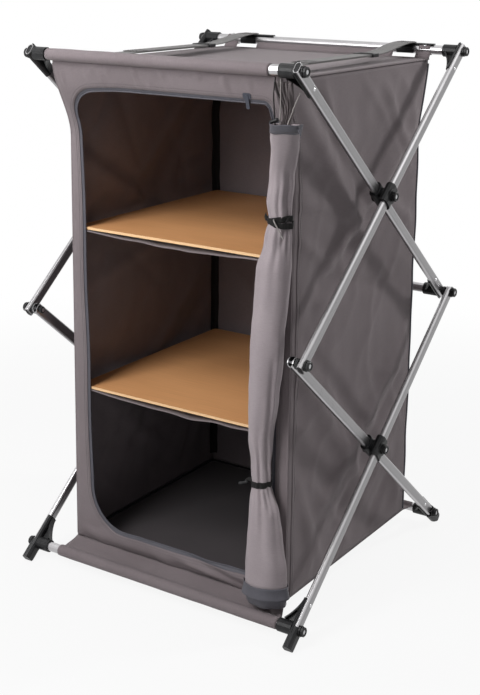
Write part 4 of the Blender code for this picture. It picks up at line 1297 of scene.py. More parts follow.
SIDE_FOLDS = (
    Fold((-0.215, 0.955), (0.010, 0.690), 0.022, 0.0085),
    Fold((-0.190, 0.985), (0.060, 0.720), 0.014, -0.0050),
    Fold((0.245, 0.900), (-0.120, 0.650), 0.022, 0.0075),
    Fold((0.225, 0.845), (-0.170, 0.600), 0.015, -0.0045),
    Fold((-0.215, 0.480), (0.040, 0.190), 0.021, 0.0085),
    Fold((-0.190, 0.530), (0.110, 0.240), 0.014, -0.0048),
    Fold((0.230, 0.450), (-0.120, 0.180), 0.022, 0.0070),
    Fold((0.215, 0.380), (-0.060, 0.130), 0.015, -0.0045),
    Fold((-0.150, 0.640), (0.190, 0.560), 0.016, -0.0034),
    Fold((-0.205, 0.250), (-0.110, 0.060), 0.016, 0.0050),
    Fold((0.205, 0.180), (0.080, 0.060), 0.018, -0.0040),
    Fold((0.090, 0.980), (0.215, 0.800), 0.014, 0.0048),
    Fold((-0.235, 0.790), (-0.120, 0.770), 0.011, 0.0042),
    Fold((-0.230, 0.730), (-0.090, 0.650), 0.010, 0.0038),
    Fold((0.235, 0.690), (0.120, 0.745), 0.010, 0.0036),
    Fold((0.235, 0.370), (0.100, 0.400), 0.011, 0.0038),
)

REAR_FOLDS = (
    Fold((-0.220, 0.940), (0.060, 0.720), 0.024, 0.0070),
    Fold((0.220, 0.920), (-0.030, 0.690), 0.020, 0.0055),
    Fold((-0.200, 0.520), (0.020, 0.330), 0.020, 0.0060),
    Fold((0.225, 0.540), (0.040, 0.300), 0.022, -0.0050),
    Fold((-0.225, 0.230), (-0.020, 0.090), 0.018, 0.0055),
    Fold((0.215, 0.240), (0.060, 0.080), 0.018, 0.0050),
    Fold((-0.100, 0.980), (-0.060, 0.800), 0.014, -0.0045),
    Fold((0.110, 0.985), (0.080, 0.840), 0.013, 0.0042),
)


@dataclass
class Walls(Assembly):
    """Front cover with its door opening, both sides and the rear.

    Attributes:
        wrinkle: Height of the small unevenness of every wall.
        gather: Height of the gathers below the front's upper edge.
        foot_swell: How far the front swells just above its lower edge.
        press: How far a board's edges press the walls out.
        side_gain: How strongly the sides show their folds.
        rear_gain: How strongly the rear shows its folds.
        side_lift: How far a side may lie inside and outside its flat place.
        rear_lift: The same for the rear.
        wave: How far the rear edges of the sides wave.
        lean: How far the opening's left edge leans, out at the top and in at the bottom.
        dip: How far the opening's top edge hangs down at its left end.
        dip_from: Distance left of the middle where that dip begins.
        clear_of_boards: How far the front stands before the boards' edges at the least.
        seam_wide: Width of the strip over the seam behind each side's front edge.
        seam_shares: Share of the depth at the seam's middle and at its two rows of stitches.
        opening_stitches: Distance of each row of stitches from the opening's edge.
        tape_rows: Distance inside the opening's edge, and behind it, of each row of the zip's tape.
        tape_wide: Width of that tape.
        coil_pitch: Distance from one turn of the zip's coil to the next.
        coil_radius: Radius of the coil.
        webbing_reach: Width of each half of the webbing in a rear corner.
    """

    wrinkle: float = 0.0016
    gather: float = 0.0058
    foot_swell: float = 0.0085
    press: float = 0.0016
    side_gain: float = 1.25
    rear_gain: float = 1.4
    side_lift: tuple[float, float] = (-0.0056, 0.0130)
    rear_lift: tuple[float, float] = (-0.0035, 0.0125)
    wave: float = 0.0052
    lean: float = 0.009
    dip: float = 0.016
    dip_from: float = 0.070
    clear_of_boards: float = 0.0021
    seam_wide: float = 0.0102
    seam_shares: tuple[float, float, float] = (0.042, 0.036, 0.048)
    opening_stitches: tuple[float, float] = (0.0035, 0.0075)
    tape_rows: tuple[tuple[float, float], ...] = (
        (-0.008, 0.0012), (-0.003, 0.0013), (0.002, 0.0014), (0.0062, 0.0012))
    tape_wide: float = 0.0150
    coil_pitch: float = 0.0011
    coil_radius: float = 0.0016
    webbing_reach: float = 0.012

    def front_place(self, x: float, height: float) -> Vector:
        """A place on the front cover, with its gathers.

        Args:
            x: Place across.
            height: Height before the sag of the opening's top and bottom.

        Returns:
            The place.
        """
        layout = self.layout
        edge = layout.front_edge.z
        below = edge - height
        gather = bell(below, 0.050) * smoothstep(below / 0.012)
        border = min(layout.half_box - abs(x), 0.05) / 0.05
        lift = gather * self.gather * ripple(x * 62 + height * 14, height * 9, 1.0)
        lift += self.wrinkle * ripple(x * 16, height * 7, 2.0) * smoothstep(border * 2 + 0.3)
        lift += 0.0030 * ripple(x * 34 - height * 20, height * 30, 3.0) * bell(below, 0.09)
        corner = bell(layout.half_box - abs(x), 0.035) * bell(below - 0.035, 0.055)
        lift += corner * (0.0038 * cos(x * 520) - 0.0020)
        foot = height - layout.wall_low
        lift += self.foot_swell * bell(foot - 0.017, 0.016) * (1 - (x / layout.half_box) ** 4) * (
            1 + 0.45 * ripple(x * 9, 1.0, 6.0))
        lift += 0.0034 * bell(foot - 0.01, 0.045) * ripple(x * 24 + height * 18, height * 25, 4.0)
        lift += 0.0030 * bell(foot - 0.03, 0.04) * bell(x - 0.12, 0.10) * cos(foot * 260 + x * 40)
        clear = self.clear_of_boards * smoothstep((layout.half_box - abs(x)) / 0.012)
        clear *= smoothstep(foot / 0.012) * smoothstep(below / 0.060)
        wall = layout.front_wall_y(height)
        return Vector((x, min(wall - clear * 0.6 - lift, wall - clear), height))

    def side_place(self, sign: int, back: float, up: float) -> Vector:
        """A place on a side wall.

        Args:
            sign: -1 for the left side and 1 for the right.
            back: Share of the depth, 0 at the front.
            up: Share of the height.

        Returns:
            The place.
        """
        layout = self.layout
        edge = layout.front_edge
        top_y = edge.y + (layout.rear_top_y - edge.y) * back
        top = min(layout.panel_height(layout.half_box, top_y) - SOLID_CLOTH - GAP, edge.z)
        height = layout.wall_low + (top - layout.wall_low) * up
        low_y = layout.front_wall_y(height) + SOLID_CLOTH
        high_y = layout.rear_wall_y(height) - SOLID_CLOTH / 2
        high_y += self.wave * ripple(height * 11, 3.0, 30.0) * min(1.0, 6 * sin(pi * up))
        depth = low_y + (high_y - low_y) * back
        flip = depth if sign > 0 else -depth * 0.92
        lift = sum(fold.at((flip, height)) for fold in SIDE_FOLDS) * self.side_gain
        for tilt, seed, size in ((4.0, 17.0, 0.0034), (-5.0, 27.0, 0.0026)):
            crease = 1 - abs(ripple(depth * 7 + height * tilt, height * 5, seed + sign)) * 2.4
            lift += size * max(crease, 0.0) ** 3
        lift += self.wrinkle * (ripple(depth * 8, height * 5, 5.0 + sign) * 2.6
                                + ripple(depth * 26, height * 14, 8.0 + sign) * 0.9)
        for board in layout.board_tops:
            lift += self.press * bell(height - board, 0.014)
        corner = bell(back, 0.10) * bell(1 - up, 0.14)
        lift += corner * 0.0035 * ripple(depth * 130, height * 12, 11.0)
        fade = min(1.0, 4.5 * sin(pi * back)) * min(1.0, 7.0 * sin(pi * up))
        lift = clamp(lift * max(fade, 0.0), *self.side_lift)
        return Vector((sign * (layout.half_box - SOLID_CLOTH / 2 + lift), depth, height))

    def rear_place(self, across: float, up: float) -> Vector:
        """A place on the rear wall.

        Args:
            across: Share of the width, from left to right.
            up: Share of the height.

        Returns:
            The place.
        """
        layout = self.layout
        left = self.side_place(-1, 1.0, up)
        x = left.x * (1 - 2 * across)
        lift = 0.0032 * sin(3 * pi * across) * sin(2 * pi * up)
        lift += 0.0040 * ripple(x * 9, left.z * 6, 20.0) + 0.0022 * ripple(x * 26, left.z * 12, 21.0)
        lift += sum(fold.at((x, left.z)) for fold in REAR_FOLDS) * self.rear_gain
        for board in layout.board_tops:
            lift += self.press * bell(left.z - board, 0.012)
        inside = max(min(1.0, 4 * sin(pi * across)), 0.0)
        lift = clamp(lift, *self.rear_lift) * inside * max(min(1.0, 5 * sin(pi * up)), 0.0)
        flat = layout.rear_wall_y(left.z) - SOLID_CLOTH / 2
        return Vector((x, left.y + (flat - left.y) * inside + lift, left.z))

    def opening_runs(self, inward: float, counts: tuple[int, int]) -> np.ndarray:
        """Points round the door opening, in the order right top corner, left top, left bottom.

        Args:
            inward: How far inside the opening's edge, below 0 on the cover.
            counts: Points along a level side and along an upright side.

        Returns:
            Points of (x, height), with each corner's middle at the end of a side.
        """
        radii = [max(radius - inward, 0.0) for radius in OPENING_RADII]
        box = self.layout.opening_box(inward)
        runs = corner_runs(box, radii, counts)
        left = np.clip((0.10 - (runs[:, 0] - box[0])) / 0.10, 0.0, 1.0)
        up = (runs[:, 1] - box[2]) / (box[3] - box[2])
        dip = np.clip((-self.dip_from - runs[:, 0]) / (box[1] - self.dip_from), 0.0, 1.0) ** 2.2
        runs[:, 0] += left * (self.lean * (0.5 - up) * 2 + 0.0012 * np.sin(up * 19.0))
        runs[:, 1] -= self.dip * dip * np.clip(up * 6 - 5, 0.0, 1.0)
        return runs

    def build(self) -> None:
        """Add the front cover, the sides, the rear, their seams and the zip."""
        self._front()
        self._sides_and_rear()
        self._zip()
        self._webbing_in_corners()

    def _front(self) -> None:
        """The front cover: rings of faces from its outer edge to the door opening."""
        layout = self.layout
        counts = (110, 150)
        half = layout.half_box
        outer = corner_runs((-half, half, layout.wall_low, layout.front_edge.z), [0.0] * 4, counts)
        inner = self.opening_runs(0.0, counts)
        rows = [[self.front_place(x, z) for x, z in outer * (1 - share) + inner * share]
                for share in np.linspace(0.0, 1.0, 17)]
        cover = grid_object("cover_front_cloth", rows, self.finishes.cloth, CLOTH_THICK, True)
        around = running_length(np.array(rows[7]), True)[-1]
        self.sheet(cover, (face_area(cover) / around, around), PANELS, ("cover_front",),
                   layout.sleeve_keep)
        lines = [[self._on_front(x, z) for x, z in looped(self.opening_runs(-inset, (70, 130)))]
                 for inset in self.opening_stitches]
        self.sew("stitches_opening", lines, layout.sleeve_keep)

    def _on_front(self, x: float, height: float, proud: float = STITCH_PROUD) -> Vector:
        """A place just in front of the front cover.

        Args:
            x: Place across.
            height: Height before the sag.
            proud: Distance before the cover.

        Returns:
            The place.
        """
        place = self.front_place(x, height)
        place.y -= proud
        return place

    def _sides_and_rear(self) -> None:
        """Both side walls, the rear wall, their seams, a binding along each front edge and a dark tube along
        each rear edge.
        """
        layout = self.layout
        tall = layout.panel_rest - layout.wall_low
        deep = layout.rear_top_y - layout.front_edge.y
        for name, sign in SIDES:
            wall = surface(f"side_{name}_cloth", 62, 104,
                           lambda back, up, sign=sign: self.side_place(sign, back, up),
                           self.finishes.cloth)
            self.sheet(wall, (deep, tall), PANELS, ("cover_wrap",) if sign > 0 else (),
                       layout.panel_keep)
            self._side_trim(name, sign)
        rear = surface("rear_cloth", 56, 96, self.rear_place, self.finishes.cloth)
        self.sheet(rear, (2 * layout.half_box, tall), PANELS, keep=layout.panel_keep)

    def _side_trim(self, name: str, sign: int) -> None:
        """The seam behind the front edge, a binding along the front edge and a dark tube of the tape's
        colour along the rear edge.

        Args:
            name: Name of the side.
            sign: -1 for the left side and 1 for the right.
        """
        keep = self.layout.panel_keep
        ups = np.linspace(0.004, 0.992, 90)
        out = Vector((sign, 0.0, 0.0))
        middle, *edges = self.seam_shares
        seam = [self.side_place(sign, middle, up) + out * 0.0006 for up in ups]
        sides = [(0.0, 1.0, 0.0)] * len(seam)
        welt = ribbon(f"side_{name}_seam", seam, sides, self.seam_wide, self.finishes.cloth, 0.0010)
        self.sheet(welt, (self.seam_wide, length_of(seam)), (f"side_{name}_cloth",), keep=keep)
        rows = [[self.side_place(sign, share, up) + out * 0.0013 for up in ups] for share in edges]
        self.sew(f"stitches_side_{name}", rows, keep)
        for place, back, off, behind, material, radius in (
                ("front", 0.0, 0.0006, -0.0008, self.finishes.cloth, 0.0015),
                ("rear", 1.0, 0.0010, 0.0008, self.finishes.tape, 0.0019)):
            path = [self.side_place(sign, back, up) + Vector((sign * off, behind, 0.0)) for up in ups]
            self.attach(tube(f"side_{name}_{place}_edge", path, radius, material), keep=keep)

    def _zip(self) -> None:
        """The zip's tape and coil round the door opening, just behind the cover's edge."""
        counts = (80, 150)
        keep = self.layout.sleeve_keep
        rows = [[self._on_front(x, z, -behind) for x, z in self.opening_runs(inward, counts)]
                for inward, behind in self.tape_rows]
        tape = grid_object("zip_tape", rows, self.finishes.tape, 0.0008, True)
        around = running_length(np.array(rows[1]), True)[-1]
        self.sheet(tape, (self.tape_wide, float(around)), ("cover_front_cloth",), keep=keep,
                   slot=Slot.ZIP)
        edge = looped(self.opening_runs(self.tape_rows[-1][0], counts))
        line = evenly([self._on_front(x, z, -0.0008) for x, z in edge], int(around / self.coil_pitch))[:-1]
        radii = self.coil_radius + 0.00035 * np.sin(np.arange(len(line)) * pi * 0.5)
        coil = tube("zip_coil", line, radii, self.finishes.tape, 6, True)
        self.attach(coil, Slot.ZIP, keep=keep)

    def _webbing_in_corners(self) -> None:
        """Black webbing down the inner rear corners, which carries the shelves."""
        for name, sign in SIDES:
            rows = []
            for up in np.linspace(0.02, 0.985, 110):
                corner = self.side_place(sign, 1.0, up)
                reach = self.webbing_reach + 0.0016 * ripple(corner.z * 22, 1.0, 40.0 + sign)
                rows.append([(corner.x - sign * (0.0016 + reach * (1 - cos(turn))),
                              corner.y - 0.0016 - reach * (1 - sin(turn)), corner.z)
                             for turn in np.radians(90 * np.linspace(0.0, 1.0, 7))])
            band = grid_object(f"corner_webbing_{name}", rows, self.finishes.black_webbing, 0.0012)
            self.attach(band, Slot.WEBBING, keep=self.layout.panel_keep)


def corner_runs(box: tuple[float, float, float, float], radii: Sequence[float],
                counts: tuple[int, int]) -> np.ndarray:
    """Points round a box with rounded corners, each run from one corner's middle to the next.

    Args:
        box: Low x, high x, low z and high z.
        radii: Corner radii in the order right top, left top, left bottom, right bottom.
        counts: Points along a level run and along an upright run.

    Returns:
        Points of (x, z) from the right top corner over the top, down the left and back.
    """
    low_x, high_x, low_z, high_z = box
    centres = ((high_x - radii[0], high_z - radii[0]), (low_x + radii[1], high_z - radii[1]),
               (low_x + radii[2], low_z + radii[2]), (high_x - radii[3], low_z + radii[3]))
    points = []
    for corner in range(4):
        run = []
        for index, start, end in ((corner, 45, 90), ((corner + 1) % 4, 0, 45)):
            turn = 90 * corner if index == corner else 90 * (corner + 1)
            for angle in np.radians(np.linspace(start, end, 10) + turn):
                run.append((centres[index][0] + radii[index] * cos(angle),
                            centres[index][1] + radii[index] * sin(angle)))
        points.append(evenly(run, counts[corner % 2] + 1)[:-1])
    return np.vstack(points)


@dataclass
class TopAndFloor(Assembly):
    """Top panel, its sleeve and rear band, the floor and its skirts.

    Attributes:
        strap_x: Middle of each strap, whose clip the rear band's notches leave free.
        notch_wide: Width of a notch.
        notch_deep: Depth of a notch.
        tab_span: Low and high x of the right end tab.
        tab_flat: Width of both end tabs, side by side, and length round the bar.
        stud_turn: Angle of the press studs round the rear bar, in degrees.
        stud_profile: Radius and height of a press stud, from its rim to its middle.
        skirt_wide: Width of the front skirt.
        edge_radius: Radius of the binding along the top's sides.
        binding_radius: Radius of the binding round the floor.
    """

    strap_x: float = 0.192
    notch_wide: float = 0.052
    notch_deep: float = 0.014
    tab_span: tuple[float, float] = (0.2225, 0.2470)
    tab_flat: tuple[float, float] = (0.049, 0.060)
    stud_turn: float = 118.0
    stud_profile: tuple[tuple[float, float], ...] = (
        (0.0046, 0.0), (0.0046, 0.0006), (0.0038, 0.0014), (0.0024, 0.0011), (0.0002, 0.0011))
    skirt_wide: float = 0.53
    edge_radius: float = 0.0016
    binding_radius: float = 0.0024

    def build(self) -> None:
        """Add the pieces above and below the walls."""
        self._top()
        self._rear_band()
        self._floor()
        self._rear_skirt()

    def _sleeve(self, end: str, body: Body, ends: tuple[float, float], bar_z: float, seam: float,
                seed: float) -> None:
        """Cloth round a front bar, a little loose, with a pinch where it is sewn.

        Args:
            end: Which end of the frame, top or bottom.
            body: The body that it rides on.
            ends: Its low and high x.
            bar_z: Middle of the bar.
            seam: Angle of the pinch, in degrees.
            seed: Seed of its slack.
        """
        layout = self.layout
        pinch = radians(seam)
        rows = []
        for x in np.linspace(ends[0], ends[1], 110):
            row = []
            for turn in np.linspace(0.0, 2 * pi, 36, endpoint=False):
                slack = SLEEVE_EASE * (0.5 + 0.5 * ripple(x * 22, turn * 0.7, seed))
                slack += 0.0022 * bell(remainder(turn - pinch, 2 * pi), 0.42)
                slack -= 0.0006 * bell(min(x - ends[0], ends[1] - x), 0.004)
                radius = layout.sleeve_radius + slack
                row.append((x, layout.front_y + radius * cos(turn), bar_z + radius * sin(turn)))
            rows.append(row)
        sleeve = grid_object(f"{end}_sleeve_cloth", rows, self.finishes.cloth, CLOTH_THICK, True)
        self.sheet(sleeve, (ends[1] - ends[0], 2 * pi * layout.sleeve_radius), (f"bar_{end}_front",),
                   body=body)

    def _top(self) -> None:
        """The top panel with its sleeve, side bindings and stitches."""
        layout = self.layout
        start = layout.seam(layout.high_z, TOP_SEAM)
        end = layout.rear_top_y - GAP

        def place(across: float, back: float) -> Vector:
            """A place on the panel.

            Args:
                across: Share from left to right.
                back: Share from front to rear.

            Returns:
                The place.
            """
            x = layout.half_box * (2 * across - 1)
            y = start.y + (end - start.y) * back
            lift = 0.0022 * ripple(x * 8, y * 8, 30.0)
            lift += 0.0020 * ripple(x * 28, y * 7, 31.0) * bell(back, 0.35)
            lift += 0.0016 * ripple(x * 24, y * 9, 32.0) * bell(1 - back, 0.2)
            fade = min(1.0, 5 * sin(pi * across)) * min(1.0, 6 * sin(pi * back))
            return Vector((x, y, layout.panel_height(x, y) + lift * max(fade, 0.0)))

        panel = surface("top_panel_cloth", 60, 60, place, self.finishes.cloth)
        self.sheet(panel, (2 * layout.half_box, end - start.y),
                   ("top_sleeve_cloth", "cover_front_cloth"), ("top_panel",), body=Body.TOP)
        self._sleeve("top", Body.TOP, TOP_SLEEVE_ENDS, layout.high_z, TOP_SEAM, 33.0)
        backs = np.linspace(0.01, 1.0, 60)
        for name, sign in SIDES:
            path = [place((1 + sign) / 2, back) + Vector((sign * 0.0009, 0.0, -0.0004)) for back in backs]
            edge = tube(f"top_edge_{name}", path, self.edge_radius, self.finishes.cloth)
            self.attach(edge, body=Body.TOP)
        proud = UP * STITCH_PROUD
        lines = [[place(across, back) + proud for back in backs] for across in (0.012, 0.988)]
        lines += [[place(across, back) + proud for across in np.linspace(0.01, 0.99, 60)]
                  for back in (0.035, 0.985)]
        self.sew("stitches_top", lines, body=Body.TOP)

    def _rear_band(self) -> None:
        """The band from the top's rear edge to the rear bar, with its windows and end tabs."""
        layout = self.layout
        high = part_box("top_rear_band")[1]
        bottom = Vector((0.0, layout.rear_top_y + SOLID_CLOTH, layout.panel_rest - SOLID_CLOTH))
        upper = Vector((0.0, high.y - SOLID_CLOTH / 2, high.z - SOLID_CLOTH / 2))
        half = layout.half_box
        strap = self.strap_x
        notch = self.notch_wide / 2
        share_low = 1 - self.notch_deep / (upper - bottom).length
        pieces = []
        for left, right, start, end in (
                (-half, half, 0.0, share_low), (-half, -strap - notch, share_low, 1.0),
                (-strap + notch, strap - notch, share_low, 1.0), (strap + notch, half, share_low, 1.0)):
            columns = max(4, int((right - left) / 0.008))

            def place(across: float, up: float,
                      span: tuple[float, ...] = (left, right, start, end)) -> Vector:
                """A place on this part of the band.

                Args:
                    across: Share from left to right.
                    up: Share of this part's height.
                    span: Its low and high x, and its shares of the band's height.

                Returns:
                    The place.
                """
                x = span[0] + (span[1] - span[0]) * across
                share = span[2] + (span[3] - span[2]) * up
                sway = 0.0006 * ripple(x * 25, share * 3, 40.0) * sin(pi * share)
                return bottom.lerp(upper, share) + Vector((x, sway, -sway))

            pieces.append(surface("band", columns, 6, place, self.finishes.cloth))
        band = joined("top_rear_band_cloth", pieces)
        self.sheet(band, (2 * half, (upper - bottom).length), ("bar_top_rear", "top_panel_cloth"),
                   ("top_rear_band",), body=Body.TOP_REAR)
        self._tabs()

    def _tabs(self) -> None:
        """The two loops round the rear bar, closed with press studs."""
        layout = self.layout
        radius = layout.bar_radius + GAP + CLOTH_THICK / 2
        near, far = self.tab_span
        loops = []
        for left, right in ((-far, -near), (near, far)):
            xs = np.linspace(left, right, max(4, int((right - left) / 0.01)))
            rows = [[(x, layout.rear_y + radius * cos(turn), layout.high_z + radius * sin(turn))
                     for x in xs] for turn in np.radians(np.linspace(-160.0, 172.0, 30))]
            loops.append(grid_object("loop", rows, self.finishes.cloth, CLOTH_THICK))
        self.sheet(joined("rear_bar_loops", loops), self.tab_flat, ("bar_top_rear",), body=Body.CLIPS,
                   held=Held.FOLDED)
        turn = radians(self.stud_turn)
        out = Vector((0.0, cos(turn), sin(turn)))
        studs = []
        for sign in (-1, 1):
            middle = Vector((sign * (near + far) / 2, layout.rear_y, layout.high_z))
            studs.append(turned("stud", self.stud_profile, middle + out * (radius + CLOTH_THICK / 2), out,
                                self.finishes.steel))
        self.attach(joined("rear_bar_studs", studs), Slot.ALUMINIUM, Body.CLIPS)

    def _floor(self) -> None:
        """The floor, the front skirt and the sleeve round the bottom front bar."""
        layout = self.layout
        floor_z = layout.wall_low - GAP - SOLID_CLOTH / 2
        seam = layout.seam(layout.low_z, BOTTOM_SEAM)

        def floor(across: float, back: float) -> Vector:
            """A place on the floor.

            Args:
                across: Share from left to right.
                back: Share from front to rear.

            Returns:
                The place.
            """
            x = layout.half_box * (2 * across - 1)
            y = layout.box_front + (layout.box_rear - layout.box_front) * back
            fade = sin(pi * across) * sin(pi * back)
            return Vector((x, y, floor_z + 0.0010 * fade * ripple(x * 11, y * 9, 50.0)))

        def skirt(across: float, back: float) -> Vector:
            """A place on the front skirt.

            Args:
                across: Share from left to right.
                back: Share from front to rear.

            Returns:
                The place.
            """
            left = BOTTOM_SLEEVE_ENDS[0] + (-layout.half_box - BOTTOM_SLEEVE_ENDS[0]) * back
            right = BOTTOM_SLEEVE_ENDS[1] + (layout.half_box - BOTTOM_SLEEVE_ENDS[1]) * back
            x = left + (right - left) * across
            sag = 0.0024 * sin(pi * back) * (0.5 + ripple(x * 13, back * 2, 51.0))
            y = seam.y + (layout.box_front - seam.y) * back
            return Vector((x, y, seam.z + (floor_z - seam.z) * back - sag))

        base = surface("floor_panel_cloth", 50, 50, floor, self.finishes.ground)
        self.sheet(base, (2 * layout.half_box, layout.box_rear - layout.box_front),
                   ("front_skirt_cloth", "rear_skirt_cloth"), ("floor_panel",))
        front = surface("front_skirt_cloth", 80, 12, skirt, self.finishes.cloth)
        self.sheet(front, (self.skirt_wide, layout.box_front - seam.y),
                   ("floor_panel_cloth", "bottom_sleeve_cloth"))
        self._sleeve("bottom", Body.BASE, BOTTOM_SLEEVE_ENDS, layout.low_z, BOTTOM_SEAM, 53.0)
        ring = evenly([(0.007, 0.02), (0.007, 0.992), (0.993, 0.992), (0.993, 0.02)], 150)
        edge = [floor(across, back) + UP * 0.0016 for across, back in ring]
        binding = tube("floor_binding", edge, self.binding_radius, self.finishes.black_webbing)
        self.attach(binding, Slot.WEBBING)
        proud = UP * STITCH_PROUD
        lines = [[skirt(across, back) + proud for across in np.linspace(0.01, 0.99, 90)]
                 for back in (0.10, 0.93)]
        ring = evenly([(0.022, 0.02), (0.022, 0.976), (0.978, 0.976), (0.978, 0.02)], 150)
        lines.append([floor(across, back) + proud for across, back in ring])
        self.sew("stitches_skirt", lines)

    def _rear_skirt(self) -> None:
        """The strip from the floor's rear edge over the bottom rear bar."""
        layout = self.layout
        radius = layout.bar_radius + GAP + SOLID_CLOTH / 2
        path = [(layout.box_rear + SOLID_CLOTH + GAP, layout.wall_low - GAP - SOLID_CLOTH / 2)]
        path += [(layout.rear_y + radius * cos(turn), layout.low_z + radius * sin(turn))
                 for turn in np.radians(np.linspace(160.0, 90.0, 12))]
        xs = np.linspace(-layout.half_box, layout.half_box, 60)
        points = [[(x, y, z) for x in xs] for y, z in evenly(path, 16)]
        skirt = grid_object("rear_skirt_cloth", points, self.finishes.cloth, CLOTH_THICK)
        self.sheet(skirt, (2 * layout.half_box, length_of(path)),
                   ("bar_bottom_rear", "floor_panel_cloth"), ("skirt_rear",), body=Body.FLOOR_TAIL)


# Shelves

@dataclass
class Shelves(Assembly):
    """The slings under the boards and their front hems.

    Attributes:
        sag: How far a sling hangs down at its front edge.
        board_thick: Thickness of a board.
        hem_radius: Radius of the hem along its front edge.
    """

    sag: float = 0.0085
    board_thick: float = 0.005
    hem_radius: float = 0.0016

    def build(self) -> None:
        """Add a sling under each board."""
        layout = self.layout
        tops = layout.board_tops
        for index, (name, body, top) in enumerate((("low", Body.SHELF_LOW, tops[0]),
                                                   ("high", Body.SHELF_HIGH, tops[1]))):
            node = f"shelf_sling_{name}"
            low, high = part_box(node)
            under = top - self.board_thick - GAP - SOLID_CLOTH / 2

            def place(across: float, back: float, seed: float = 60.0 + index) -> Vector:
                """A place on the sling.

                Args:
                    across: Share from left to right.
                    back: Share from front to rear.
                    seed: Seed of its slack.

                Returns:
                    The place.
                """
                x = low.x + (high.x - low.x) * across
                y = low.y + (high.y - low.y) * back
                slack = sin(pi * across) * max(0.0, 1 - back * 2.6) ** 2
                wave = 1 + 0.55 * ripple(x * 17, back * 2, seed)
                return Vector((x, y, under - self.sag * slack * wave))

            # The sling takes the darker copy of the cloth: painted shade.
            sling = surface(f"{node}_cloth", 56, 40, place, self.finishes.lining)
            self.sheet(sling, (high.x - low.x, high.y - low.y),
                       ("side_left_cloth", "side_right_cloth", "rear_cloth"), (node,), body=body,
                       held=Held.HUNG)
            behind = Vector((0.0, 0.0012, -0.0008))
            path = [place(across, 0.0) + behind for across in np.linspace(0.0, 1.0, 60)]
            hem = tube(f"shelf_hem_{name}", path, self.hem_radius, self.finishes.cloth)
            self.attach(hem, body=body)


# Rolled door

@dataclass(frozen=True)
class Waist:
    """One place where the roll's shape is set.

    Attributes:
        height: Height of the place.
        middle: Middle of the roll, across.
        half: Half its width.
    """

    height: float
    middle: float
    half: float


@dataclass(frozen=True)
class Crease:
    """A valley down the outside of the roll.

    Attributes:
        angle: Its angle round the roll, in degrees.
        low: Its lower end.
        high: Its upper end.
        width: Half its width, in degrees.
        depth: How deep it is.
    """

    angle: float
    low: float
    high: float
    width: float
    depth: float

    def at(self, height: float, angle: float) -> float:
        """How deep the crease is at a place on the roll.

        Args:
            height: Height of the place.
            angle: Its angle round the roll, in radians.

        Returns:
            The depth in metres.
        """
        share = clamp((height - self.low) / (self.high - self.low))
        drift = 5.0 * sin(3.0 * share + self.angle)
        off = (degrees(angle) - self.angle - drift + 180.0) % 360.0 - 180.0
        return self.depth * bell(off, self.width) * sqrt(sin(pi * share))


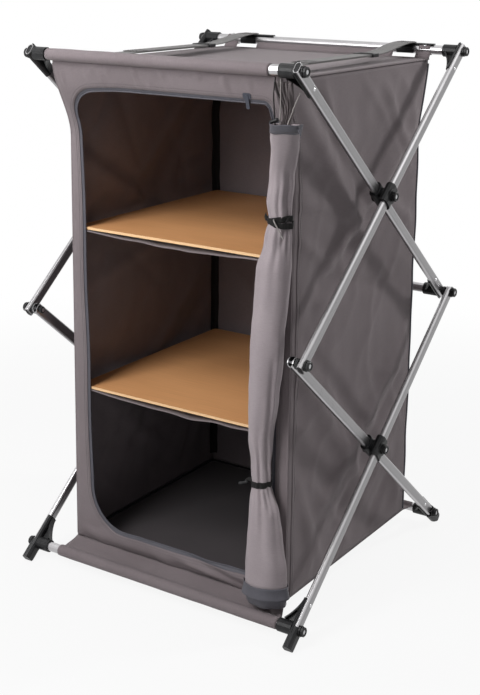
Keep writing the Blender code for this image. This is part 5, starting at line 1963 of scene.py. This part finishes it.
@dataclass
class DoorRoll(Assembly):
    """The door, rolled up to the right of the opening and held by two ties and by cords.

    Attributes:
        turns: How often the cloth goes round.
        creases: The long and short valleys in its outer turn.
        shape: Its middle and width, from the bottom up.
        flatness: Depth as a share of the width.
        bands: Lower edge, upper edge, distance off the cloth and flare of each tape band.
        foot: How far its lower end stands over the middle of the bottom bars.
        head: How far its upper end hangs below the middle of the top bars.
        tie_at: How far the upper tie is below the top bars, and the lower one over the bottom bars.
        pleat: Height of the pleats at the ties.
        door_wide: Width of the door's cloth.
        neck_x: Middle of the neck's upper end, across.
        cord_sink: How much lower than the roll the cords end when the frame lies folded.
    """

    turns: float = 2.35
    creases: tuple[Crease, ...] = (
        Crease(-36.0, 0.305, 0.530, 13.0, 0.0062), Crease(-12.0, 0.350, 0.620, 12.0, 0.0030),
        Crease(-50.0, 0.228, 0.268, 11.0, 0.0062), Crease(-46.0, 0.715, 0.762, 12.0, 0.0058),
        Crease(-70.0, 0.560, 0.720, 20.0, 0.0022), Crease(-88.0, 0.090, 0.210, 22.0, 0.0024),
        Crease(-25.0, 0.070, 0.200, 16.0, 0.0026), Crease(-30.0, 0.800, 0.900, 18.0, 0.0016))
    shape: tuple[Waist, ...] = (
        Waist(0.048, 0.230, 0.0350), Waist(0.072, 0.230, 0.0400), Waist(0.120, 0.230, 0.0392),
        Waist(0.180, 0.224, 0.0333), Waist(0.225, 0.220, 0.0285), Waist(0.274, 0.209, 0.0170),
        Waist(0.315, 0.207, 0.0172), Waist(0.360, 0.207, 0.0228), Waist(0.440, 0.215, 0.0287),
        Waist(0.520, 0.221, 0.0322), Waist(0.680, 0.231, 0.0322), Waist(0.730, 0.236, 0.0246),
        Waist(0.768, 0.238, 0.0200), Waist(0.800, 0.236, 0.0218), Waist(0.850, 0.240, 0.0222),
        Waist(0.910, 0.260, 0.0254), Waist(0.945, 0.273, 0.0272))
    flatness: float = 0.62
    bands: tuple[tuple[float, float, float, float], ...] = (
        (-0.006, 0.016, 0.0010, 0.0), (0.013, 0.036, 0.0018, 0.0042), (0.872, 0.889, 0.0012, 0.0))
    foot: float = 0.026
    head: float = 0.088
    tie_at: tuple[float, float] = (0.262, 0.244)
    pleat: float = 0.0032
    door_wide: float = 0.42
    neck_x: float = 0.2590
    cord_sink: float = 0.004

    @property
    def low(self) -> float:
        """Lower end of the roll."""
        return self.layout.low_z + self.foot

    @property
    def high(self) -> float:
        """Upper end of the roll."""
        return self.layout.high_z - self.head

    @property
    def ties(self) -> tuple[float, float]:
        """Heights of the two ties, from the top down."""
        return self.layout.high_z - self.tie_at[0], self.layout.low_z + self.tie_at[1]

    def girth(self, height: float) -> tuple[float, float]:
        """The roll's width, eased between the set places.

        Args:
            height: Height of the place.

        Returns:
            Its middle across, and half its width.
        """
        pairs = list(zip(self.shape, self.shape[1:]))
        below, above = next((pair for pair in pairs if height <= pair[1].height), pairs[-1])
        share = (height - below.height) / (above.height - below.height)
        share = 0.5 * smoothstep(share) + 0.5 * clamp(share)
        return (below.middle + (above.middle - below.middle) * share,
                below.half + (above.half - below.half) * share)

    def hold(self, piece: Piece, slot: Slot, sink: float = 0.0) -> None:
        """Put a piece on the base, with the roll's keep share less the sink."""
        self.attach(piece, slot, keep=self.layout.sleeve_keep - sink)

    def depth(self, height: float) -> float:
        """Half the depth of the roll at a height."""
        return self.flatness * self.girth(height)[1] + 0.0045

    def centre(self, height: float) -> Vector:
        """Middle of the roll at a height, set against the front wall."""
        face = self.layout.front_wall_y(height + 0.040) - SOLID_CLOTH / 2 - GAP
        return Vector((self.girth(height)[0], face - self.depth(height) * 1.1 - 0.002, height))

    def ring(self, height: float, angle: float, share: float = 1.0, grown: float = 0.0) -> Vector:
        """A place on the roll.

        Args:
            height: Height of the ring.
            angle: Angle round it, 0 to the right and falling towards the front.
            share: Share of the outer radius.
            grown: Distance outside the cloth.

        Returns:
            The place.
        """
        up = (height - self.low) / (self.high - self.low)
        lobe = 1 + 0.04 * cos(3 * angle + 5 * up) + 0.03 * cos(5 * angle - 9 * up)
        pleat = 0.0
        for index, tie in enumerate(self.ties):
            near = bell(height - tie, 0.070) * (1 - 0.6 * bell(height - tie, 0.012))
            pleat += near * (0.6 * cos(8 * angle + index) + 0.4 * cos(13 * angle + 2.0 * index))
        size = lobe * share
        wrinkle = 0.0016 * ripple(angle * 1.3, height * 10, 70.0) + self.pleat * pleat
        wrinkle += 0.0011 * ripple(angle * 0.8 + height * 16, height * 34, 71.0)
        wrinkle -= sum(crease.at(height, angle) for crease in self.creases)
        reach_x = self.girth(height)[1] * size + wrinkle + grown
        reach_y = self.depth(height) * size + wrinkle + grown
        centre = self.centre(height)
        return Vector((centre.x + reach_x * cos(angle), centre.y + reach_y * sin(angle), height))

    def build(self) -> None:
        """Add the rolled cloth, its tape, the neck, the ties and their cords."""
        self._cloth()
        self._bands()
        self._neck()
        self._ties()
        self._cords()

    def _cloth(self) -> None:
        """The rolled cloth, wound inwards."""
        columns, rows = 140, 130
        turns = np.linspace(0.0, self.turns * 2 * pi, columns + 1)
        points = np.zeros((rows + 1, columns + 1, 3))
        for row, height in enumerate(np.linspace(self.low, self.high, rows + 1)):
            for column, turn in enumerate(turns):
                share = 1.0 - 0.26 * smoothstep(turn / turns[-1]) * turn / turns[-1] * 1.9
                angle = radians(28.0) - turn
                droop = 0.0025 * ripple(turn * 0.6, 4.0, 75.0) * (bell(row, 5) + bell(rows - row, 5))
                place = self.ring(height, angle, max(share, 0.2))
                points[row, column] = (place.x, place.y, place.z + droop)
        # The roll takes the lighter copy of the cloth: painted light.
        roll = grid_object("door_roll_cloth", points, self.finishes.door, 0.0010)
        self.sheet(roll, (self.door_wide, self.high - self.low), ("cover_front_cloth",),
                   ("door_roll",), self.layout.sleeve_keep, held=Held.FOLDED)

    def _bands(self) -> None:
        """The zip's tape round both ends of the roll, each edge waved and sewn down."""
        first, last = radians(26.0), radians(-232.0)
        lines = []
        for index, (low, high, proud, flare) in enumerate(self.bands):
            low, high = self.low + low, min(self.low + high, self.high + 0.0025)
            rows = []
            for share in np.linspace(0.0, 1.0, 9):
                row = []
                for angle in np.linspace(first, last, 90):
                    wave = 0.0022 * ripple(angle * 1.4, 2.0, 76.0 + index) * abs(2 * share - 1)
                    rim = 0.0012 * bell(share - 0.95, 0.09) + flare * (1 - share) ** 2
                    height = low + (high - low) * share + wave
                    row.append(self.ring(max(height, self.low - 0.006), angle, 1.0, proud + rim))
                rows.append(row)
            band = grid_object(f"door_roll_tape_{index + 1}", rows, self.finishes.tape, 0.0008)
            self.sheet(band, (high - low, length_of(rows[4])), ("door_roll_cloth",),
                       keep=self.layout.sleeve_keep, held=Held.FOLDED, slot=Slot.ZIP)
            lines.append([self.ring(low + 0.004, angle, 1.0, proud + 0.0012)
                          for angle in np.linspace(first, last, 80)])
        self.sew("stitches_roll", lines, self.layout.sleeve_keep)
        start = self.ring(self.high - 0.004, radians(-12.0), 1.0, 0.0016)
        path = evenly(walked(start, ((-0.008, -0.004, 0.002), (0.0, 0.0, 0.0), (0.004, -0.001, -0.004),
                                     (0.006, 0.0, -0.012))), 14)
        self.hold(ribbon("door_roll_tape_end", path, [(0.1, 0.0, 1.0)] * 14, 0.007, self.finishes.tape,
                         0.0012), Slot.ZIP)

    def _neck(self) -> None:
        """The door's gathered corner, from the front cover down into the roll's upper end."""
        layout = self.layout
        top, foot = layout.front_edge.z - 0.010, self.high - 0.012
        centre = self.centre(foot)
        rows = []
        for down in np.linspace(0.0, 1.0, 26):
            height = top + (foot - top) * down
            half = 0.0165 - 0.0095 * smoothstep(down / 0.85)
            middle = self.neck_x + (centre.x - self.neck_x) * smoothstep(down)
            wall = layout.front_wall_y(height) - 0.0065
            depth = wall + (centre.y - wall) * smoothstep((down - 0.35) / 0.65)
            row = []
            for share in np.linspace(-1.0, 1.0, 73):
                fold = cos(share * 15.0 + 2.4 * down) + 0.5 * cos(share * 27.0 - 3.0 * down)
                row.append((middle + half * share + 0.0012 * sin(share * 15.0),
                            depth - 0.0034 * fold, height))
            rows.append(row)
        # The neck takes the darker copy of the cloth: painted shade of the gathered corner behind the cords.
        neck = grid_object("door_neck_cloth", rows, self.finishes.lining, CLOTH_THICK)
        self.sheet(neck, (face_area(neck) / (top - foot) * 0.9, top - foot),
                   ("door_roll_cloth", "cover_front_cloth"), keep=layout.sleeve_keep - 0.003,
                   held=Held.GATHERED)

    def _ties(self) -> None:
        """Black webbing round the roll: a crossed pair above and a single band below."""
        upper, lower = self.ties
        black = self.finishes.black_webbing
        angles = np.linspace(0.0, 2 * pi, 72, endpoint=False)
        for index, (middle, wide, tilt, proud) in enumerate((
                (upper + 0.0015, 0.0105, 0.0050, 0.0016), (upper - 0.0015, 0.0100, -0.0050, 0.0030),
                (lower, 0.0110, 0.0030, 0.0016))):
            path = [self.ring(middle + tilt * cos(angle + 0.3), angle, 1.0, proud) for angle in angles]
            self.hold(ribbon(f"roll_tie_{index + 1}", path, [UP] * len(path), wide, black, 0.0014, True),
                      Slot.WEBBING)
        path = walked(self.ring(upper, radians(-78.0), 1.0, 0.0055), (
            (-0.006, 0.001, 0.005), (-0.002, -0.002, 0.001), (0.006, -0.003, -0.010),
            (0.015, -0.001, -0.026)))
        self.hold(tube("roll_tie_cord", evenly(curve_through(path, 6), 30), 0.0012, self.finishes.cord),
                  Slot.WEBBING)
        for name, angle, steps in (
                ("left", -160.0, ((0.004, -0.001, 0.0), (-0.002, -0.002, 0.003), (-0.005, 0.0, 0.009))),
                ("right", -30.0, ((-0.004, -0.001, 0.0), (0.001, -0.002, 0.004), (0.004, 0.0, 0.011)))):
            path = evenly(walked(self.ring(upper, radians(angle), 1.0, 0.0042), steps), 12)
            self.hold(ribbon(f"roll_tie_end_{name}", path, [(0.3, 0.0, 0.95)] * 12, 0.0085, black, 0.0012),
                      Slot.WEBBING)

    def _cords(self) -> None:
        """The cords from the front cover's corner to the roll, a hook and a toggle."""
        layout, black = self.layout, self.finishes.black_webbing
        under = layout.high_z - layout.sleeve_radius - 0.0012
        wall = layout.front_wall_y(0.995) - 0.0030
        rows = ((0.2541, layout.front_y + 0.001, under, -112.0, 0.45, self.finishes.cord),
                (0.2850, wall + 0.006, 0.9930, -40.0, 0.35, self.finishes.cord),
                (0.2440, layout.front_y + 0.002, under, -150.0, 0.70, black))
        for index, (x, y, z, angle, share, material) in enumerate(rows):
            end = self.ring(self.high + 0.001, radians(angle), share)
            start = Vector((x, y, z))
            sway = Vector((0.002 * (1 - index), -0.002, 0.0))
            path = [start, start.lerp(end, 0.35) + sway, start.lerp(end, 0.7) + sway * 0.6, end,
                    end + Vector((0.0, 0.003, -0.010))]
            cord = tube(f"roll_cord_{index + 1}", evenly(curve_through(path, 8), 30), 0.0011, material, 7)
            self.hold(cord, Slot.WEBBING, self.cord_sink)
        hook = self.ring(self.high, radians(-125.0), 0.80) + UP * 0.007
        self._toggle("roll_toggle_top", hook, 0.017)
        path = walked(self.ring(self.ties[1] + 0.002, radians(-165.0), 1.0, 0.0025), (
            (0.006, -0.002, 0.001), (0.0, -0.001, 0.001), (-0.008, 0.001, 0.002), (-0.015, 0.002, -0.003),
            (-0.022, 0.003, -0.011)))
        self.hold(ribbon("roll_tie_tail", evenly(curve_through(path, 6), 26), [(0.25, 0.1, 0.96)] * 26,
                         0.0075, black, 0.0016), Slot.WEBBING)
        self._toggle("roll_toggle_low", path[-1] + Vector((0.001, -0.001, 0.002)), 0.021)

    def _toggle(self, name: str, place: Vector, long: float) -> None:
        """A small moulded toggle, waisted in the middle.

        Args:
            name: Name of the piece.
            place: Its middle.
            long: Its length.
        """
        half = ((0.0004, -long / 2), (0.0028, -long / 2 + 0.0006), (0.0034, -long * 0.25))
        profile = [*half, (0.0024, 0.0), *((radius, -height) for radius, height in reversed(half))]
        toggle = turned(name, profile, place, Vector((0.9, 0.1, 0.35)), self.finishes.nylon, 14)
        self.hold(toggle, Slot.NYLON)


def curve_through(points: Sequence[Vector], steps: int) -> list[Vector]:
    """A smooth line through points.

    Args:
        points: The points.
        steps: Steps between each two.

    Returns:
        The places along it.
    """
    line = []
    for before, start, end, after in zip([points[0], *points], points, points[1:],
                                         [*points[2:], points[-1]]):
        for t in np.arange(steps) / steps:
            line.append(0.5 * ((2 * start) + (end - before) * t
                               + (2 * before - 5 * start + 4 * end - after) * t ** 2
                               + (3 * start - before - 3 * end + after) * t ** 3))
    return [*line, points[-1]]


# Straps

@dataclass
class Straps(Assembly):
    """The two webbing straps over the top, in two lengths each.

    Attributes:
        x: Middle of a strap.
        wide: Its width.
        thick: Its thickness.
        rise_from: Depth where the rear length begins to climb to its clip.
        rise_to: Depth where it lies on the clip.
        stitch_inset: Distance of the sewn crosses from the strap's edges.
    """

    x: float = 0.192
    wide: float = 0.038
    thick: float = 0.0016
    rise_from: float = 0.140
    rise_to: float = 0.2876
    stitch_inset: float = 0.004

    def build(self) -> None:
        """Add both lengths of each strap, with their sewn ends."""
        for name, sign in SIDES:
            self._strap(f"strap_front_{name}", sign, Body.TOP, self._front_line(name))
            self._strap(f"strap_tail_{name}", sign, Body.TOP_REAR, self._tail_line(name))

    def _front_line(self, name: str) -> list[tuple[float, float]]:
        """Middle of the front length: up from the seam, then level through the buckle.

        Args:
            name: Name of the side.

        Returns:
            Its depths and heights.
        """
        low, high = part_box(f"strap_front_{name}")
        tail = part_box(f"strap_tail_{name}")[0].y
        level = high.z - self.thick / 2
        return [(low.y, low.z + self.thick / 2), (tail, level), (high.y, level)]

    def _tail_line(self, name: str) -> list[tuple[float, float]]:
        """Middle of the rear length: level through the buckle, then up over the clip.

        Args:
            name: Name of the side.

        Returns:
            Its depths and heights.
        """
        low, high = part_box(f"strap_tail_{name}")
        level = low.z + self.thick / 2
        top = high.z - self.thick / 2
        line = [(low.y, level)]
        for share in np.linspace(0.0, 1.0, 14):
            y = self.rise_from + (self.rise_to - self.rise_from) * share
            line.append((y, level + (top - level) * smoothstep(share)))
        line.append((high.y, top))
        return line

    def _strap(self, node: str, sign: int, body: Body, middle: Sequence[tuple[float, float]]) -> None:
        """One length of webbing along the middle of its CAD solid, with its sewn ends.

        Args:
            node: Name of the solid.
            sign: -1 for the left strap and 1 for the right.
            body: The body that it rides on.
            middle: Depth and height along its middle.
        """
        path = [(sign * self.x, y, z) for y, z in evenly(middle, 90)]
        strap = ribbon(f"{node}_webbing", path, [(1.0, 0.0, 0.0)] * len(path), self.wide,
                       self.finishes.webbing, self.thick, columns=10)
        self.sheet(strap, (self.wide, length_of(path)), ("top_panel_cloth",), (node,), body=body,
                   slot=Slot.WEBBING)
        reach = self.wide / 2 - self.stitch_inset
        lift = UP * (self.thick / 2 + 0.0003)
        corners = ((0, -1), (0, 1), (1, 1), (1, -1), (0, -1), (1, 1), (1, -1), (0, 1))
        lines = [[Vector(ends[row]) + Vector((side * reach, 0.0, 0.0)) + lift for row, side in corners]
                 for ends in ((path[0], path[7]), (path[83], path[89]))]
        self.sew(f"{node}_stitches", lines[:1] if body is Body.TOP else lines, body=body,
                 slot=Slot.WEBBING)


# Stage, light and camera

@dataclass(frozen=True)
class Studio:
    """A pale floor, soft light and a camera at the photograph's viewing angle.

    Attributes:
        place: Where the camera stands.
        azimuth: Its side angle, in degrees.
        elevation: Its angle above the horizon, in degrees.
        roll: Its roll, in degrees.
        focal: Focal length, as a share of the frame's height.
        shift: Vertical shift, as a share of the frame's height.
        glow: Share of plain white in the floor near the object, where it is seen.
        ambient: Level of the world as light.
    """

    place: tuple[float, float, float] = (1.372, -2.126, 1.223)
    azimuth: float = 33.16
    elevation: float = 12.82
    roll: float = 0.72
    focal: float = 1288.0 / 695
    shift: float = -0.150
    glow: float = 0.90
    ambient: float = 0.13

    def build(self) -> None:
        """Add the floor, the lamps, the world and the camera."""
        self._floor()
        self._lamps()
        self._world()
        self._camera()

    def _floor(self) -> None:
        """A white floor that keeps the object's shadow."""
        graph = Graph("studio_floor")
        grain = graph.noise(graph.place(), 3.0, 2.0)
        graph.feed("Base Color", graph.mix(grain, (0.60, 0.60, 0.60), (0.64, 0.64, 0.64)))
        graph.fix(Roughness=0.6)
        seen, mirrored, passed = (graph.ray(kind) for kind in ("Camera", "Glossy", "Transmission"))
        place = graph.place()
        away = (graph.part(place, "X") ** 2 + graph.part(place, "Y") ** 2).ease(0.5, 4.5)
        share = seen.larger(mirrored).larger(passed) * (away * (1 - self.glow) + self.glow)
        shown = graph.node("ShaderNodeMixShader", share, Wire(graph, graph.shader.outputs[0]),
                           graph.node("ShaderNodeEmission", WHITE))
        graph.tree.links.new(shown.socket, graph.tree.nodes["Material Output"].inputs[0])
        bpy.ops.mesh.primitive_circle_add(vertices=64, radius=14.0, fill_type="NGON",
                                          location=(0, 0, -0.0005))
        floor = bpy.context.object
        floor.name = "studio_floor"
        floor.data.materials.append(graph.material)

    def _lamps(self) -> None:
        """Soft keys from the front, the left and behind the right side, with weak fills.

        The one behind the right side throws the tubes' shadows forward and down on the side wall.
        """
        rows = (
            ("key_front", (-0.4, -1.8, 2.0), 0.8, 13.0),
            ("key_near", (-0.35, -1.1, 1.95), 0.5, 7.4),
            ("key_left", (-1.3, -1.5, 2.2), 0.8, 6.0),
            ("soft_front", (-0.3, -1.5, 1.25), 0.6, 8.8),
            ("key_right", (1.25, 1.3, 1.9), 0.26, 17.5),
            ("side_right", (1.5, 0.2, 2.2), 0.6, 1.6),
            ("fill_left", (-2.8, 0.6, 1.5), 2.2, 9.0),
            ("top", (0.1, 0.4, 3.1), 1.8, 6.0),
        )
        for name, place, size, power in rows:
            light = bpy.data.lights.new(name, "AREA")
            light.shape = "SQUARE"
            light.size = size
            light.energy = power
            lamp = bpy.data.objects.new(name, light)
            lamp.location = place
            towards = Vector((0.0, 0.0, 0.5)) - Vector(place)
            lamp.rotation_euler = towards.to_track_quat("-Z", "Y").to_euler()
            bpy.context.scene.collection.objects.link(lamp)

    def _world(self) -> None:
        """White where it is seen or mirrored, and a plain level of grey as light."""
        world = bpy.data.worlds.new("studio")
        bpy.context.scene.world = world
        graph = Graph("studio", world)
        graph.fix(Color=WHITE)
        plain = graph.ray("Camera").larger(graph.ray("Transmission")).larger(graph.ray("Glossy"))
        graph.feed("Strength", graph.node("ShaderNodeMapRange", plain, None, None, self.ambient, 1.0))

    def _camera(self) -> None:
        """The camera, from its fitted place and angles."""
        camera = bpy.data.cameras.new("camera")
        camera.sensor_width = 36.0
        camera.lens = self.focal * camera.sensor_width
        camera.shift_y = self.shift
        camera.clip_end = 60.0
        obj = bpy.data.objects.new("camera", camera)
        bpy.context.scene.collection.objects.link(obj)
        side, rise = radians(self.azimuth), radians(self.elevation)
        back = Vector((sin(side) * cos(rise), -cos(side) * cos(rise), sin(rise)))
        turn = Matrix.Rotation(radians(self.roll), 3, "Z")
        obj.rotation_euler = ((-back).to_track_quat("-Z", "Y").to_matrix() @ turn).to_euler()
        obj.location = self.place
        bpy.context.scene.camera = obj
        bpy.context.scene.view_settings.view_transform = "Standard"


def main() -> dict[str, object]:
    """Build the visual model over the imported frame.

    Returns:
        The frame that was loaded.
    """
    logging.basicConfig(level=logging.INFO, format="%(name)s: %(message)s")
    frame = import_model()
    layout = Layout.read()
    finishes = Finishes.make()
    LOG.info("box half width %.3f, walls from %.3f", layout.half_box, layout.wall_low)
    body = Frame(layout, finishes)
    body.dress(frame["nodes"])
    for part in (body, *(kind(layout, finishes)
                         for kind in (Walls, TopAndFloor, Shelves, DoorRoll, Straps))):
        part.build()
        LOG.info("built %s", type(part).__name__)
    Studio().build()
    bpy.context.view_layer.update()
    return frame


if __name__ == "__main__":
    main()
